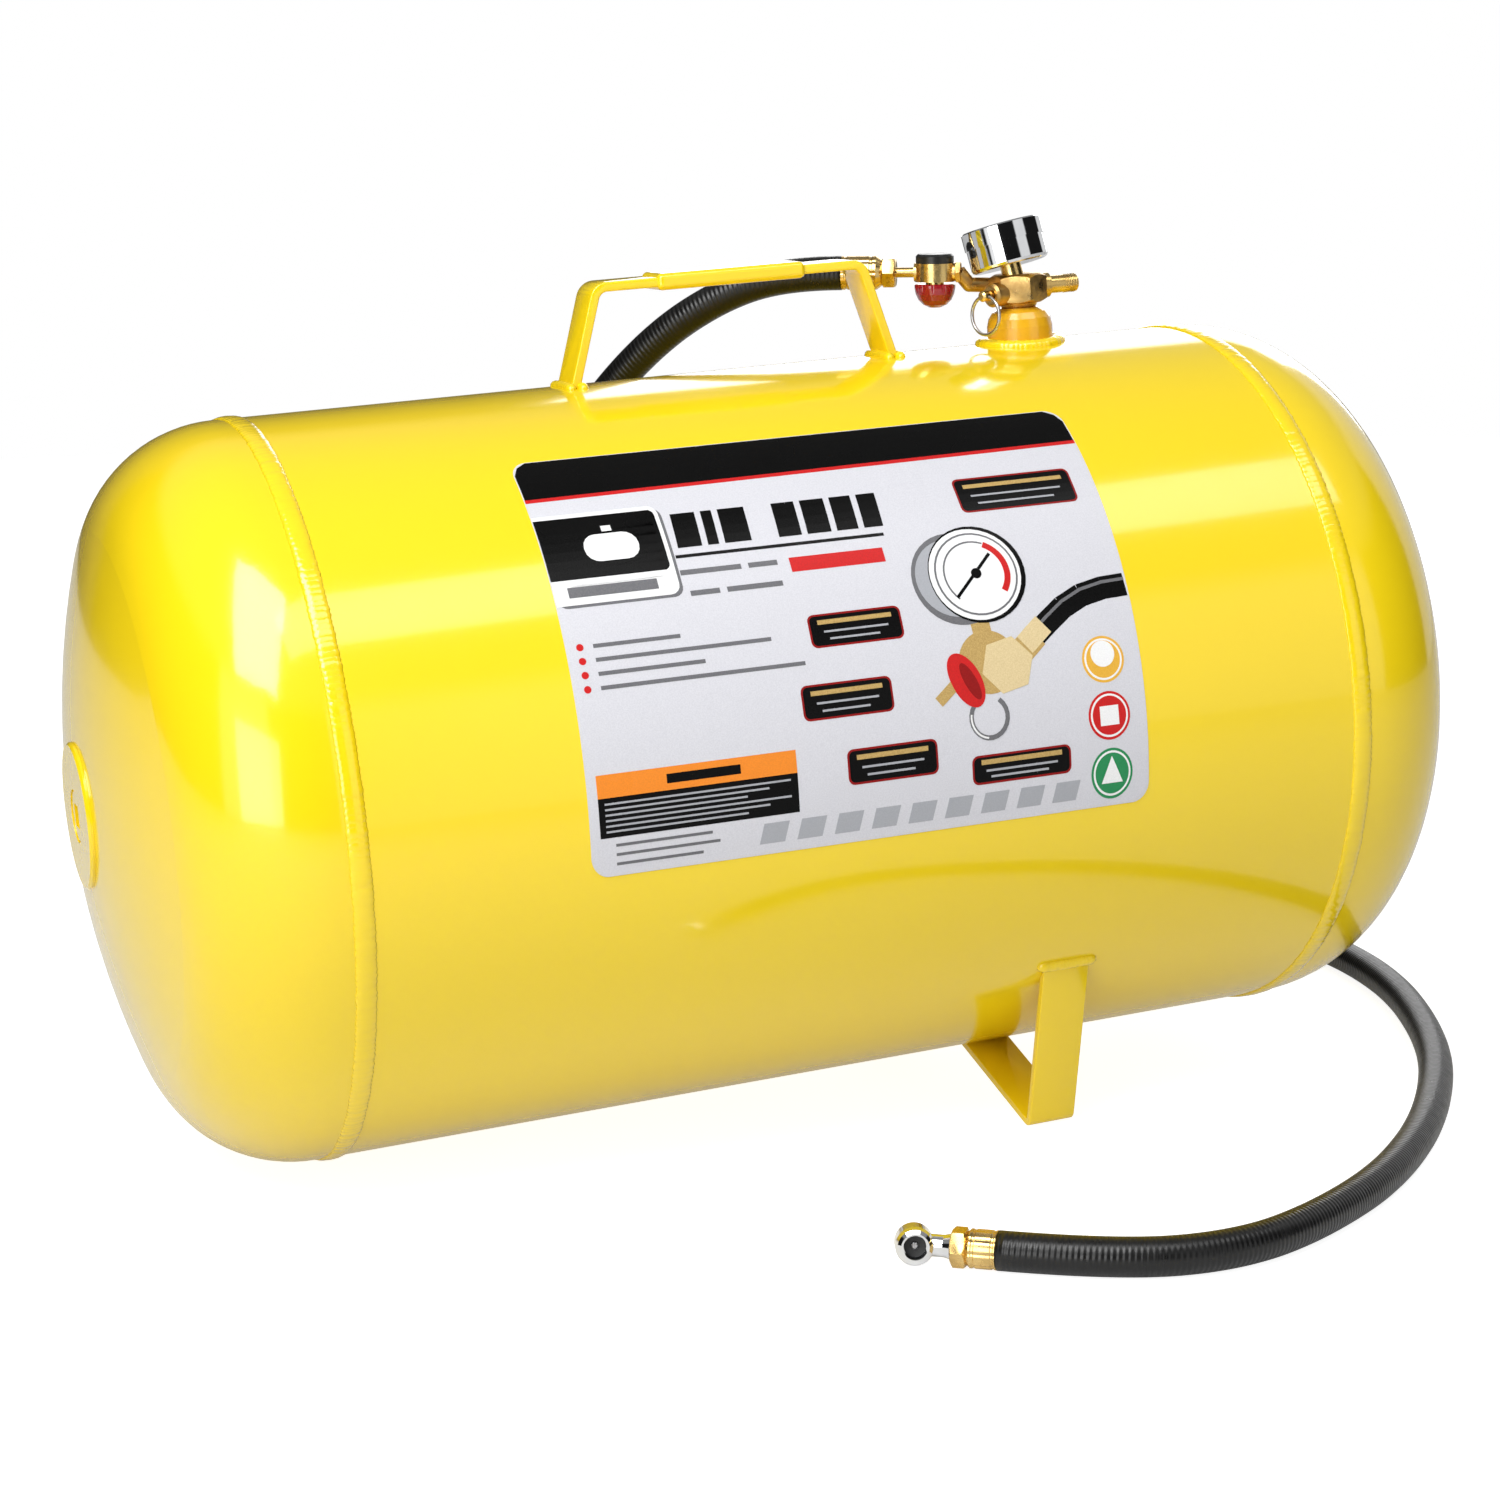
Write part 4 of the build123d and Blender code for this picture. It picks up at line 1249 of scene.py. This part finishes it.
    def picture(self) -> None:
        """A drawing of a gauge on a brass fitting with its hose, knob and ring."""
        curve = [(74, -17), (80, -12.5), (88, -7), (97, -3), (107, -1), (116.8, -0.6)]
        self.stroke(Ink.BLACK, curve, 9.5)
        self.stroke(Ink.GREY, [(x, y + 2.4) for x, y in curve], 1.3, 2)
        self.stroke(Ink.GOLD, [(64, -25), (74, -17)], 10.5, 2)
        self.stroke(Ink.TAN, [(69, -20), (78, -13)], 9.0, 3)
        self.stroke(Ink.GOLD, [(51, -5), (52, -18)], 8.0)
        self.disc(Ink.GOLD, 52, -25, 12.5, 2)
        hexagon = [(60 + 11.5 * math.cos(math.radians(60 * i + 12)),
                    -27 + 11.5 * math.sin(math.radians(60 * i + 12))) for i in range(6)]
        self.print_shape(Ink.TAN, hexagon, 3)
        self.stroke(Ink.GOLD, [(29, -38), (38, -31)], 4.4, 3)
        self.disc(Ink.RED, 41.5, -31, 11.5, 4, squeeze=0.55, turn=math.radians(24))
        self.disc(Ink.MAROON, 43.2, -31.6, 8.0, 5, squeeze=0.32, turn=math.radians(24))
        self.stroke(Ink.GREY, self.arc(49.5, -46, 7.8, 110, 410), 1.8, 3)
        self.stroke(Ink.WHITE, self.arc(49.5, -46, 7.8, 170, 260), 0.7, 4)
        self.disc(Ink.GREY, 46.5, 10, 19.5, 2)
        self.disc(Ink.PALE, 45.2, 10.4, 16.5, 3)
        self.disc(Ink.BLACK, 55, 11, 20.6, 4)
        self.disc(Ink.WHITE, 54.2, 11, 19.4, 5)
        self.disc(Ink.GREY, 54.6, 11, 17.6, 6)
        self.disc(Ink.WHITE, 54.6, 11, 16.8, 7)
        self.stroke(Ink.RED, self.arc(54.6, 11, 13.2, 62, -38), 2.6, 8)
        self.stroke(Ink.GREY, self.arc(54.6, 11, 13.6, 225, 66), 0.7, 8)
        self.stroke(Ink.BLACK, [(44.5, 2.0), (62.0, 18.5)], 1.3, 9)
        self.disc(Ink.BLACK, 54.6, 11, 2.2, 9)

    def roundels(self) -> None:
        """Three coloured discs at the right edge."""
        for ink, y in ((Ink.AMBER, -29.5), (Ink.RED, -51.2), (Ink.GREEN, -72.6)):
            self.disc(ink, 101.5, y, 9.2)
            self.disc(Ink.WHITE, 101.5, y, 8.2, 2)
            self.disc(ink, 101.5, y, 7.4, 3)
        self.disc(Ink.WHITE, 101.5, -27.4, 5.2, 4)
        self.bar(Ink.WHITE, 97.4, -55, 105.6, -47.6, 4)
        self.print_shape(Ink.WHITE, [(96.8, -76.2), (106.2, -76.2), (101.5, -66.4)], 4)

    def wrapped(self, ink: Ink) -> bpy.types.Mesh:
        """One ink's shapes, cut into strips and laid round the shell.

        Args:
            ink: The ink.

        Returns:
            Its mesh, a closed thin layer per shape.
        """
        build = bmesh.new()
        for level, outline in self.shapes[ink]:
            part = bmesh.new()
            base = part.faces.new([part.verts.new((u * MM, v * MM, 0.0)) for u, v in outline])
            base.normal_update()
            if base.normal.z < 0:
                base.normal_flip()
            low, high = min(v for _, v in outline) * MM, max(v for _, v in outline) * MM
            cut = low + self.band
            while cut < high - 1e-5:
                bmesh.ops.bisect_plane(part, geom=part.verts[:] + part.edges[:] + part.faces[:],
                                       plane_co=(0, cut, 0), plane_no=(0, 1, 0), dist=1e-7)
                cut += self.band
            top = bmesh.ops.extrude_face_region(part, geom=part.faces[:])
            lifted = [v for v in top["geom"] if isinstance(v, bmesh.types.BMVert)]
            bmesh.ops.translate(part, verts=lifted, vec=(0, 0, self.layer * level))
            bmesh.ops.recalc_face_normals(part, faces=part.faces[:])
            piece = bpy.data.meshes.new("ink_patch")
            part.to_mesh(piece)
            part.free()
            build.from_mesh(piece)
            bpy.data.meshes.remove(piece)
        up = Vector((0, math.cos(self.middle_turn), math.sin(self.middle_turn)))
        out = Vector((0, -math.sin(self.middle_turn), math.cos(self.middle_turn)))
        spin = Matrix.Rotation(self.skew, 2)
        for vert in build.verts:
            flat = spin @ Vector((vert.co.x, vert.co.y))
            radius = self.film + vert.co.z
            vert.co = (Vector((self.middle_x + flat.x, 0, 0)) + up * flat.y
                       + out * math.sqrt(radius ** 2 - flat.y ** 2))
        return mesh_from("label_" + ink.value.name, build, STANCE, smooth=False)

    def build(self) -> None:
        """Compose the print and lay every ink."""
        self.heading()
        self.small_print()
        self.picture()
        self.roundels()
        for ink in self.shapes:
            add_object("label_" + ink.value.name, self.wrapped(ink), ink.value)


# ---- gauge ------------------------------------------------------------------------------------
@dataclass
class Gauge:
    """The dial's print.

    Attributes:
        origin: Middle of the case's back, in metres.
        axis: Direction of the gauge's face.
        cross: The dial's own X direction.
        face: Height of the dial's face.
        start: Where the scale starts, degrees.
        sweep: How far it runs, degrees, clockwise.
        numbers: The scale's numbers, evenly spread.
        number_size: Their height.
        number_radius: Their distance from the dial's middle.
        paint: Half of their paint's thickness.
    """

    origin: Point = (0.126274, 0.001, 0.357372)
    axis: Point = (-0.191627, 0.188952, 0.963108)
    cross: Point = (0.981413, 0.026555, 0.190059)
    face: float = 0.0129
    start: float = 225.0
    sweep: float = -270.0
    numbers: tuple[int, ...] = (0, 50, 100, 150, 200)
    number_size: float = 0.0026
    number_radius: float = 0.0084
    paint: float = 0.00002

    def place(self) -> Matrix:
        """The gauge's own frame."""
        return frame_at(self.origin, self.axis, self.cross)

    def graduation(self, graph: GeometryGraph, name: str, count: int, radius: float,
                   bar: Point, finish: Finish) -> None:
        """Lay one ring of scale bars.

        Args:
            graph: The graduation tree.
            name: The ring's name.
            count: How many bars.
            radius: Their middle radius.
            bar: A bar's size.
            finish: Their paint.
        """
        seed = bpy.data.meshes.new(name + "_seed")
        mesh = graph.run(name, seed, {
            "Count": count, "Radius": radius, "Start": math.radians(self.start),
            "Sweep": math.radians(self.sweep), "Bar": bar, "Material": finish.material()})
        mesh.transform(self.place() @ Matrix.Translation((0, 0, self.face + bar[2] / 2)))
        add_object(name, mesh, finish)

    def numerals(self, finish: Finish) -> None:
        """Print the scale's numbers, upright on the dial.

        Args:
            finish: Their paint.
        """
        build = bmesh.new()
        for i, value in enumerate(self.numbers):
            turn = math.radians(self.start + self.sweep * i / (len(self.numbers) - 1))
            text = bpy.data.curves.new("numeral", "FONT")
            text.body = str(value)
            text.size = self.number_size
            text.align_x = "CENTER"
            text.align_y = "CENTER"
            text.extrude = self.paint
            holder = bpy.data.objects.new("numeral", text)
            bpy.context.collection.objects.link(holder)
            mesh = evaluated_mesh(holder)
            mesh.transform(Matrix.Translation((self.number_radius * math.cos(turn),
                                               self.number_radius * math.sin(turn),
                                               self.face + 1.5 * self.paint)))
            build.from_mesh(mesh)
            bpy.data.meshes.remove(mesh)
        add_object("dial_numerals", mesh_from("dial_numerals", build, self.place(), smooth=False),
                   finish)

    def build(self) -> None:
        """Print the dial."""
        graph = scale_graph()
        black = Look.NEEDLE.value
        self.graduation(graph, "dial_fine_marks", 41, 0.0132, (0.0012, 0.00016, 0.00004), black)
        self.graduation(graph, "dial_main_marks", 9, 0.0128, (0.0022, 0.00036, 0.00005), black)
        self.numerals(black)


# ---- fittings ---------------------------------------------------------------------------------
@dataclass
class Fittings:
    """Threads and crimped sleeves of the brass parts. A sleeve's cut is its length, the
    radius of its far face and where the taper to that face starts.

    Attributes:
        fill_origin: The fill valve's place.
        fill_axis: Its direction.
        thread_start: Where its thread starts.
        thread_length: How far the thread runs.
        thread_radius: Radius of the thread's root.
        thread_turns: Turns of the thread.
        thread_ridge: Radius of its ridge.
        inlet: Place of the sleeve at the manifold.
        inlet_axis: Its direction.
        inlet_cut: Its cut.
        outlet: Place of the sleeve at the hose's far end.
        outlet_axis: Its direction.
        outlet_cut: Its cut.
        sleeve: Outside radius of a sleeve.
        bore: Its inside radius.
        lobes: Number of jaw marks that the crimping tool leaves.
        dent: Depth of a jaw mark, as a share of the radius.
    """

    fill_origin: Point = (0.129285, 0.0, 0.348022)
    fill_axis: Point = (0.998532, 0.0, 0.054171)
    thread_start: float = 0.0216
    thread_length: float = 0.0056
    thread_radius: float = 0.00375
    thread_turns: float = 7.0
    thread_ridge: float = 0.00032
    inlet: Point = (0.0608, 0.0353, 0.355)
    inlet_axis: Point = (0.873528, -0.486778, 0.0)
    inlet_cut: Point = (0.018, 0.0056, 0.0155)
    outlet: Point = (0.002, -0.252, 0.0075)
    outlet_axis: Point = (-0.8, 0.6, 0.0)
    outlet_cut: Point = (0.0115, 0.0062, 0.0102)
    sleeve: float = 0.0074
    bore: float = 0.004
    lobes: int = 8
    dent: float = 0.05

    def crimped(self, length: float, neck: float, neck_at: float) -> Outline:
        """Section of a sleeve with a groove near each end.

        Args:
            length: The sleeve's length.
            neck: Radius of its far face.
            neck_at: Where the taper to the neck starts.

        Returns:
            Its closed outline, radius and height.
        """
        outer = [(self.sleeve - 0.0003, 0.0), (self.sleeve, 0.0003)]
        groove, wide = 0.0003, 0.0007
        for share in (0.14, 0.86):
            at = neck_at * share
            outer += [(self.sleeve, at - wide), (self.sleeve - groove, at - wide / 2),
                      (self.sleeve - groove, at + wide / 2), (self.sleeve, at + wide)]
        outer += [(self.sleeve, neck_at), (neck, length)]
        return [(self.bore, 0.0), *outer, (self.bore * 0.65, length),
                (self.bore * 0.65, neck_at), (self.bore, neck_at)]

    def build(self) -> None:
        """Make the inlet sleeve and cut the thread."""
        brass = Look.BRASS.value
        sleeve = lathe("inlet_sleeve", self.crimped(*self.inlet_cut),
                       frame_at(self.inlet, self.inlet_axis), lobes=self.lobes, dent=self.dent)
        add_object("inlet_sleeve", sleeve, brass, replaced=["hose_ferrule_inlet"])
        thread = thread_graph().run("fill_thread", bpy.data.meshes.new("thread_seed"), {
            "Radius": self.thread_radius, "Turns": self.thread_turns,
            "Height": self.thread_length, "Ridge": self.thread_ridge,
            "Material": brass.material()})
        thread.transform(frame_at(self.fill_origin, self.fill_axis)
                         @ Matrix.Translation((0, 0, self.thread_start)))
        add_object("fill_valve_thread", thread, brass)

    def outlet_sleeve(self) -> bpy.types.Object:
        """Make the sleeve on the hose's far end.

        Returns:
            The sleeve.
        """
        mesh = lathe("outlet_sleeve", self.crimped(*self.outlet_cut),
                     frame_at(self.outlet, self.outlet_axis), lobes=self.lobes, dent=self.dent)
        return add_object("outlet_sleeve", mesh, Look.BRASS.value,
                          replaced=["hose_ferrule_outlet"])


# ---- hose -------------------------------------------------------------------------------------
@dataclass
class Hose:
    """The free hose.

    Attributes:
        route: Control points of its line, in metres, from the manifold to the chuck.
        radius: Outside radius.
        sides: Faces round it.
    """

    route: tuple[Point, ...] = (
        (0.0608, 0.0353, 0.355), (0.0416, 0.046, 0.355), (0.0165, 0.060, 0.3475),
        (-0.011, 0.0795, 0.327), (-0.035, 0.108, 0.291), (-0.052, 0.148, 0.240),
        (-0.060, 0.188, 0.178), (-0.048, 0.216, 0.112), (-0.004, 0.227, 0.060),
        (0.066, 0.229, 0.024), (0.148, 0.228, 0.0075), (0.262, 0.222, 0.0075),
        (0.346, 0.148, 0.0075), (0.346, 0.038, 0.0075), (0.301, -0.079, 0.0075),
        (0.245, -0.165, 0.0075), (0.186, -0.229, 0.0075), (0.130, -0.268, 0.0075),
        (0.084, -0.2865, 0.0075), (0.038, -0.279, 0.0075), (0.002, -0.252, 0.0075),
    )
    radius: float = 0.0075
    sides: int = 32

    def line(self) -> list[Vector]:
        """The smooth line that the route shapes.

        Returns:
            Points along it, in metres.
        """
        data = bpy.data.curves.new("hose_line", "CURVE")
        data.dimensions = "3D"
        data.resolution_u = 24
        spline = data.splines.new("NURBS")
        spline.points.add(len(self.route) - 1)
        for point, place in zip(spline.points, self.route):
            point.co = (*place, 1.0)
        spline.order_u = 3
        spline.use_endpoint_u = True
        holder = bpy.data.objects.new("hose_line", data)
        bpy.context.collection.objects.link(holder)
        mesh = evaluated_mesh(holder)
        return [v.co.copy() for v in mesh.vertices]

    def tube(self, path: list[Vector]) -> bpy.types.Mesh:
        """Tube round a line, with a UV map that runs along it in metres.

        Args:
            path: Points along its middle.

        Returns:
            The closed tube.
        """
        build = bmesh.new()
        layer = build.loops.layers.uv.new("UVMap")
        rings, lengths, travelled = [], [], 0.0
        heading = (path[1] - path[0]).normalized()
        side = heading.orthogonal().normalized()
        for i, point in enumerate(path):
            before, after = path[max(i - 1, 0)], path[min(i + 1, len(path) - 1)]
            new_heading = (after - before).normalized()
            side = (heading.rotation_difference(new_heading) @ side).normalized()
            heading = new_heading
            up = heading.cross(side)
            turns = [2 * math.pi * k / self.sides for k in range(self.sides)]
            rings.append([build.verts.new(point + self.radius * (side * math.cos(t)
                                                                 + up * math.sin(t)))
                          for t in turns])
            travelled += (point - path[max(i - 1, 0)]).length
            lengths.append(travelled)
        for i in range(len(rings) - 1):
            for k in range(self.sides):
                n = (k + 1) % self.sides
                face = build.faces.new((rings[i][k], rings[i][n], rings[i + 1][n],
                                        rings[i + 1][k]))
                spots = ((k, i), (k + 1, i), (k + 1, i + 1), (k, i + 1))
                for loop, (turn, along) in zip(face.loops, spots):
                    loop[layer].uv = (turn / self.sides, lengths[along])
        build.faces.new(rings[0][::-1])
        build.faces.new(rings[-1])
        return mesh_from("hose_cover", build)

    def build(self, pieces: Sequence[bpy.types.Object]) -> None:
        """Args:
            pieces: The pieces on its far end; not used.
        """
        path = self.line()
        cover = add_object("hose_cover", self.tube(path), Look.HOSE.value, replaced=["hose"])


# ---- CAD pieces that keep their shape ---------------------------------------------------------
CARRIED: dict[Look, tuple[str, ...]] = {
    Look.ENAMEL: ("shell_wrapper", "head_left", "end_boss", "end_plug",
                  "handle_grip"),
    Look.BUNG: ("top_bung",),
    Look.SHEET: ("label",),
    Look.BRASS: ("relief_cap", "fill_valve_body", "fill_core", "fill_retainer", "gauge_socket",
                 "gauge_frame", "gauge_sector", "bourdon_tube", "valve_body", "packing_nut",
                 "seat_disc", "valve_stem", "hose_barb", "fill_pin", "relief_stem"),
    Look.CAST_BRASS: ("relief_body", "outlet_elbow"),
    Look.STEEL: ("relief_ring", "chuck_pin"),
    Look.CHROME: ("gauge_case", "gauge_bezel", "chuck_body"),
    Look.LENS: ("gauge_lens",),
    Look.DIAL: ("gauge_dial",),
    Look.NEEDLE: ("gauge_pointer",),
    Look.BLACK_CAP: ("valve_cap",),
    Look.SEAL: ("spindle_seal", "chuck_seal"),
    Look.RED_KNOB: ("valve_knob",),
}


def dress_carried() -> None:
    """Give each CAD piece that stays its finish."""
    for look, nodes in CARRIED.items():
        for node in nodes:
            piece = frame["nodes"][node]
            for held in piece.material_slots:
                held.material = look.value.material()
            LOG.info("CAD piece %s in %s", node, look.value.name)


# ---- studio -----------------------------------------------------------------------------------
@dataclass(frozen=True)
class Softbox:
    """One soft light.

    Attributes:
        name: Its name.
        place: Where it stands.
        target: What it faces.
        size: Its width and height.
        power: Watts.
    """

    name: str
    place: Point
    target: Point
    size: tuple[float, float]
    power: float

    def stand(self) -> None:
        """Stand it in the studio."""
        data = bpy.data.lights.new(self.name, "AREA")
        data.shape = "RECTANGLE"
        data.size, data.size_y = self.size
        data.energy = self.power
        light = bpy.data.objects.new(self.name, data)
        aim = (Vector(self.target) - Vector(self.place)).to_track_quat("-Z", "Y")
        light.matrix_world = Matrix.Translation(self.place) @ aim.to_matrix().to_4x4()
        bpy.context.collection.objects.link(light)


@dataclass
class Studio:
    """Floor, lights, room and camera.

    Attributes:
        eye: The camera's place.
        right: Its picture's right.
        up: Its picture's up.
        forward: Where it looks.
        lens: Focal length in millimetres.
        boxes: The soft lights.
        panels: Bright and dark wall panels, each its start in turns from -X and its brightness.
        ceiling: Brightness of the room above the panels.
        floor_glow: The floor's own light, as seen and as cast on the object.
        floor_radius: The floor's radius.
        floor_drop: How far the floor lies under the object.
        panel_edge: Half of the soft edge between two panels, in turns.
        wall_top: Where the walls start to give way to the ceiling, and where they end.
        sensor: The camera's film width in millimetres.
        nearest: The nearest thing that the camera shows.
    """

    eye: Point = (-0.4817, -1.2849, 0.4119)
    right: Point = (0.935, -0.3544, -0.0143)
    up: Point = (0.0789, 0.1684, 0.9826)
    forward: Point = (0.3458, 0.9198, -0.1854)
    lens: float = 77.3
    boxes: tuple[Softbox, ...] = (
        Softbox("key", (-0.76, -0.66, 1.31), (-0.235, -0.12, 0.24), (0.72, 0.95), 16.5),
        Softbox("overhead", (0.30, -0.87, 1.70), (0.05, -0.05, 0.2), (1.7, 0.5), 7.5),
        Softbox("fill", (-1.7, -1.6, 0.55), (0.0, 0.0, 0.2), (1.2, 1.0), 12.5),
        Softbox("rear", (1.3, 2.0, 1.0), (0.0, 0.0, 0.2), (1.4, 1.2), 16),
    )
    panels: tuple[tuple[float, float], ...] = (
        (0.0, 0.01), (0.045, 0.95), (0.15, 0.01), (0.28, 0.8), (0.37, 0.01), (0.53, 0.7),
        (0.64, 0.06), (0.80, 0.01),
    )
    ceiling: float = 0.27
    floor_glow: tuple[float, float] = (0.90, 0.24)
    floor_radius: float = 3.2
    floor_drop: float = 0.0003
    panel_edge: float = 0.006
    wall_top: tuple[float, float] = (0.50, 0.60)
    sensor: float = 36.0
    nearest: float = 0.05

    def floor(self) -> None:
        """A pale floor, brighter to the eye than to the object."""
        build = bmesh.new()
        bmesh.ops.create_circle(build, cap_ends=True, segments=64,
                                radius=self.floor_radius)
        mesh = mesh_from("studio_floor", build, Matrix.Translation((0, 0, -self.floor_drop)))
        graph = ShaderGraph("pale_floor")
        tone = graph.blend(graph.vary(3.0, 0.0, 1.0), (0.55, 0.55, 0.55), (0.53, 0.53, 0.53))
        graph.feed(tone, "Base Color")
        graph.put("Roughness", 0.9)
        graph.put("Specular IOR Level", 0.0)
        graph.put("Emission Color", (1.0, 1.0, 1.0))
        seen, cast = self.floor_glow
        glow = graph.ramp(graph.add("ShaderNodeLightPath").outputs["Is Camera Ray"], 0.0, 1.0,
                          cast, seen)
        graph.feed(glow, "Emission Strength")
        mesh.materials.append(graph.material)
        plane = bpy.data.objects.new("studio_floor", mesh)
        bpy.context.collection.objects.link(plane)

    def room(self) -> None:
        """A white backdrop to the eye; panelled walls and a pale ceiling to the object."""
        world = bpy.data.worlds.new("panelled_room")
        world.use_nodes = True
        nodes, links = world.node_tree.nodes, world.node_tree.links
        heading = nodes.new("ShaderNodeTexCoord").outputs["Generated"]
        turn = nodes.new("ShaderNodeTexGradient")
        turn.gradient_type = "RADIAL"
        links.new(heading, turn.inputs["Vector"])
        walls = nodes.new("ShaderNodeValToRGB")
        walls.color_ramp.interpolation = "EASE"
        stops = walls.color_ramp.elements
        spots = []
        for i, (start, value) in enumerate(self.panels):
            end = self.panels[i + 1][0] if i + 1 < len(self.panels) else 1.0
            spots += [(start + self.panel_edge, value), (end - self.panel_edge, value)]
        while len(stops) < len(spots):
            stops.new(0.5)
        for stop, (place, value) in zip(stops, spots):
            stop.position = place
            stop.color = (value, value, value, 1.0)
        links.new(turn.outputs["Fac"], walls.inputs["Fac"])
        axes = nodes.new("ShaderNodeSeparateXYZ")
        links.new(heading, axes.inputs[0])
        height = nodes.new("ShaderNodeMapRange")
        height.inputs["From Min"].default_value = self.wall_top[0]
        height.inputs["From Max"].default_value = self.wall_top[1]
        links.new(axes.outputs["Z"], height.inputs["Value"])
        blend = nodes.new("ShaderNodeMix")
        blend.data_type = "RGBA"
        links.new(height.outputs["Result"], blend.inputs["Factor"])
        colours = [s for s in blend.inputs if s.type == "RGBA"]
        links.new(walls.outputs["Color"], colours[0])
        colours[1].default_value = (self.ceiling, self.ceiling, self.ceiling, 1.0)
        room = nodes["Background"]
        links.new(next(s for s in blend.outputs if s.type == "RGBA"), room.inputs["Color"])
        backdrop = nodes.new("ShaderNodeBackground")
        backdrop.inputs["Color"].default_value = (1.0, 1.0, 1.0, 1.0)
        rays = nodes.new("ShaderNodeLightPath")
        mix = nodes.new("ShaderNodeMixShader")
        links.new(rays.outputs["Is Camera Ray"], mix.inputs[0])
        links.new(room.outputs[0], mix.inputs[1])
        links.new(backdrop.outputs[0], mix.inputs[2])
        links.new(mix.outputs[0], nodes["World Output"].inputs["Surface"])
        bpy.context.scene.world = world

    def camera(self) -> None:
        """Stand the camera."""
        data = bpy.data.cameras.new("camera")
        data.lens = self.lens
        data.sensor_width = self.sensor
        data.clip_start = self.nearest
        turn = Matrix((self.right, self.up, -Vector(self.forward))).transposed()
        camera = bpy.data.objects.new("camera", data)
        square = turn.to_quaternion().to_matrix().to_4x4()
        camera.matrix_world = Matrix.Translation(self.eye) @ square
        bpy.context.collection.objects.link(camera)
        bpy.context.scene.camera = camera

    def build(self) -> None:
        """Set the studio up, with colours shown as they are."""
        bpy.context.scene.view_settings.view_transform = "Standard"
        self.floor()
        for box in self.boxes:
            box.stand()
        self.room()
        self.camera()


def main() -> None:
    """Build every piece."""
    logging.basicConfig(level=logging.INFO, format="%(name)s: %(message)s")
    Studio().build()
    dress_carried()
    Welds().build()
    SoftEdges().build()
    Springs().build()
    Label().build()
    Gauge().build()
    fittings = Fittings()
    fittings.build()
    sleeve = fittings.outlet_sleeve()
    far_end = [bpy.data.objects[n] for n in ("hose_tail_hex_soft", "chuck_spring_coil")]
    far_end += [frame["nodes"][n] for n in ("chuck_body", "chuck_seal", "chuck_pin")]
    Hose().build([sleeve, *far_end])


if __name__ == "__main__":
    main()
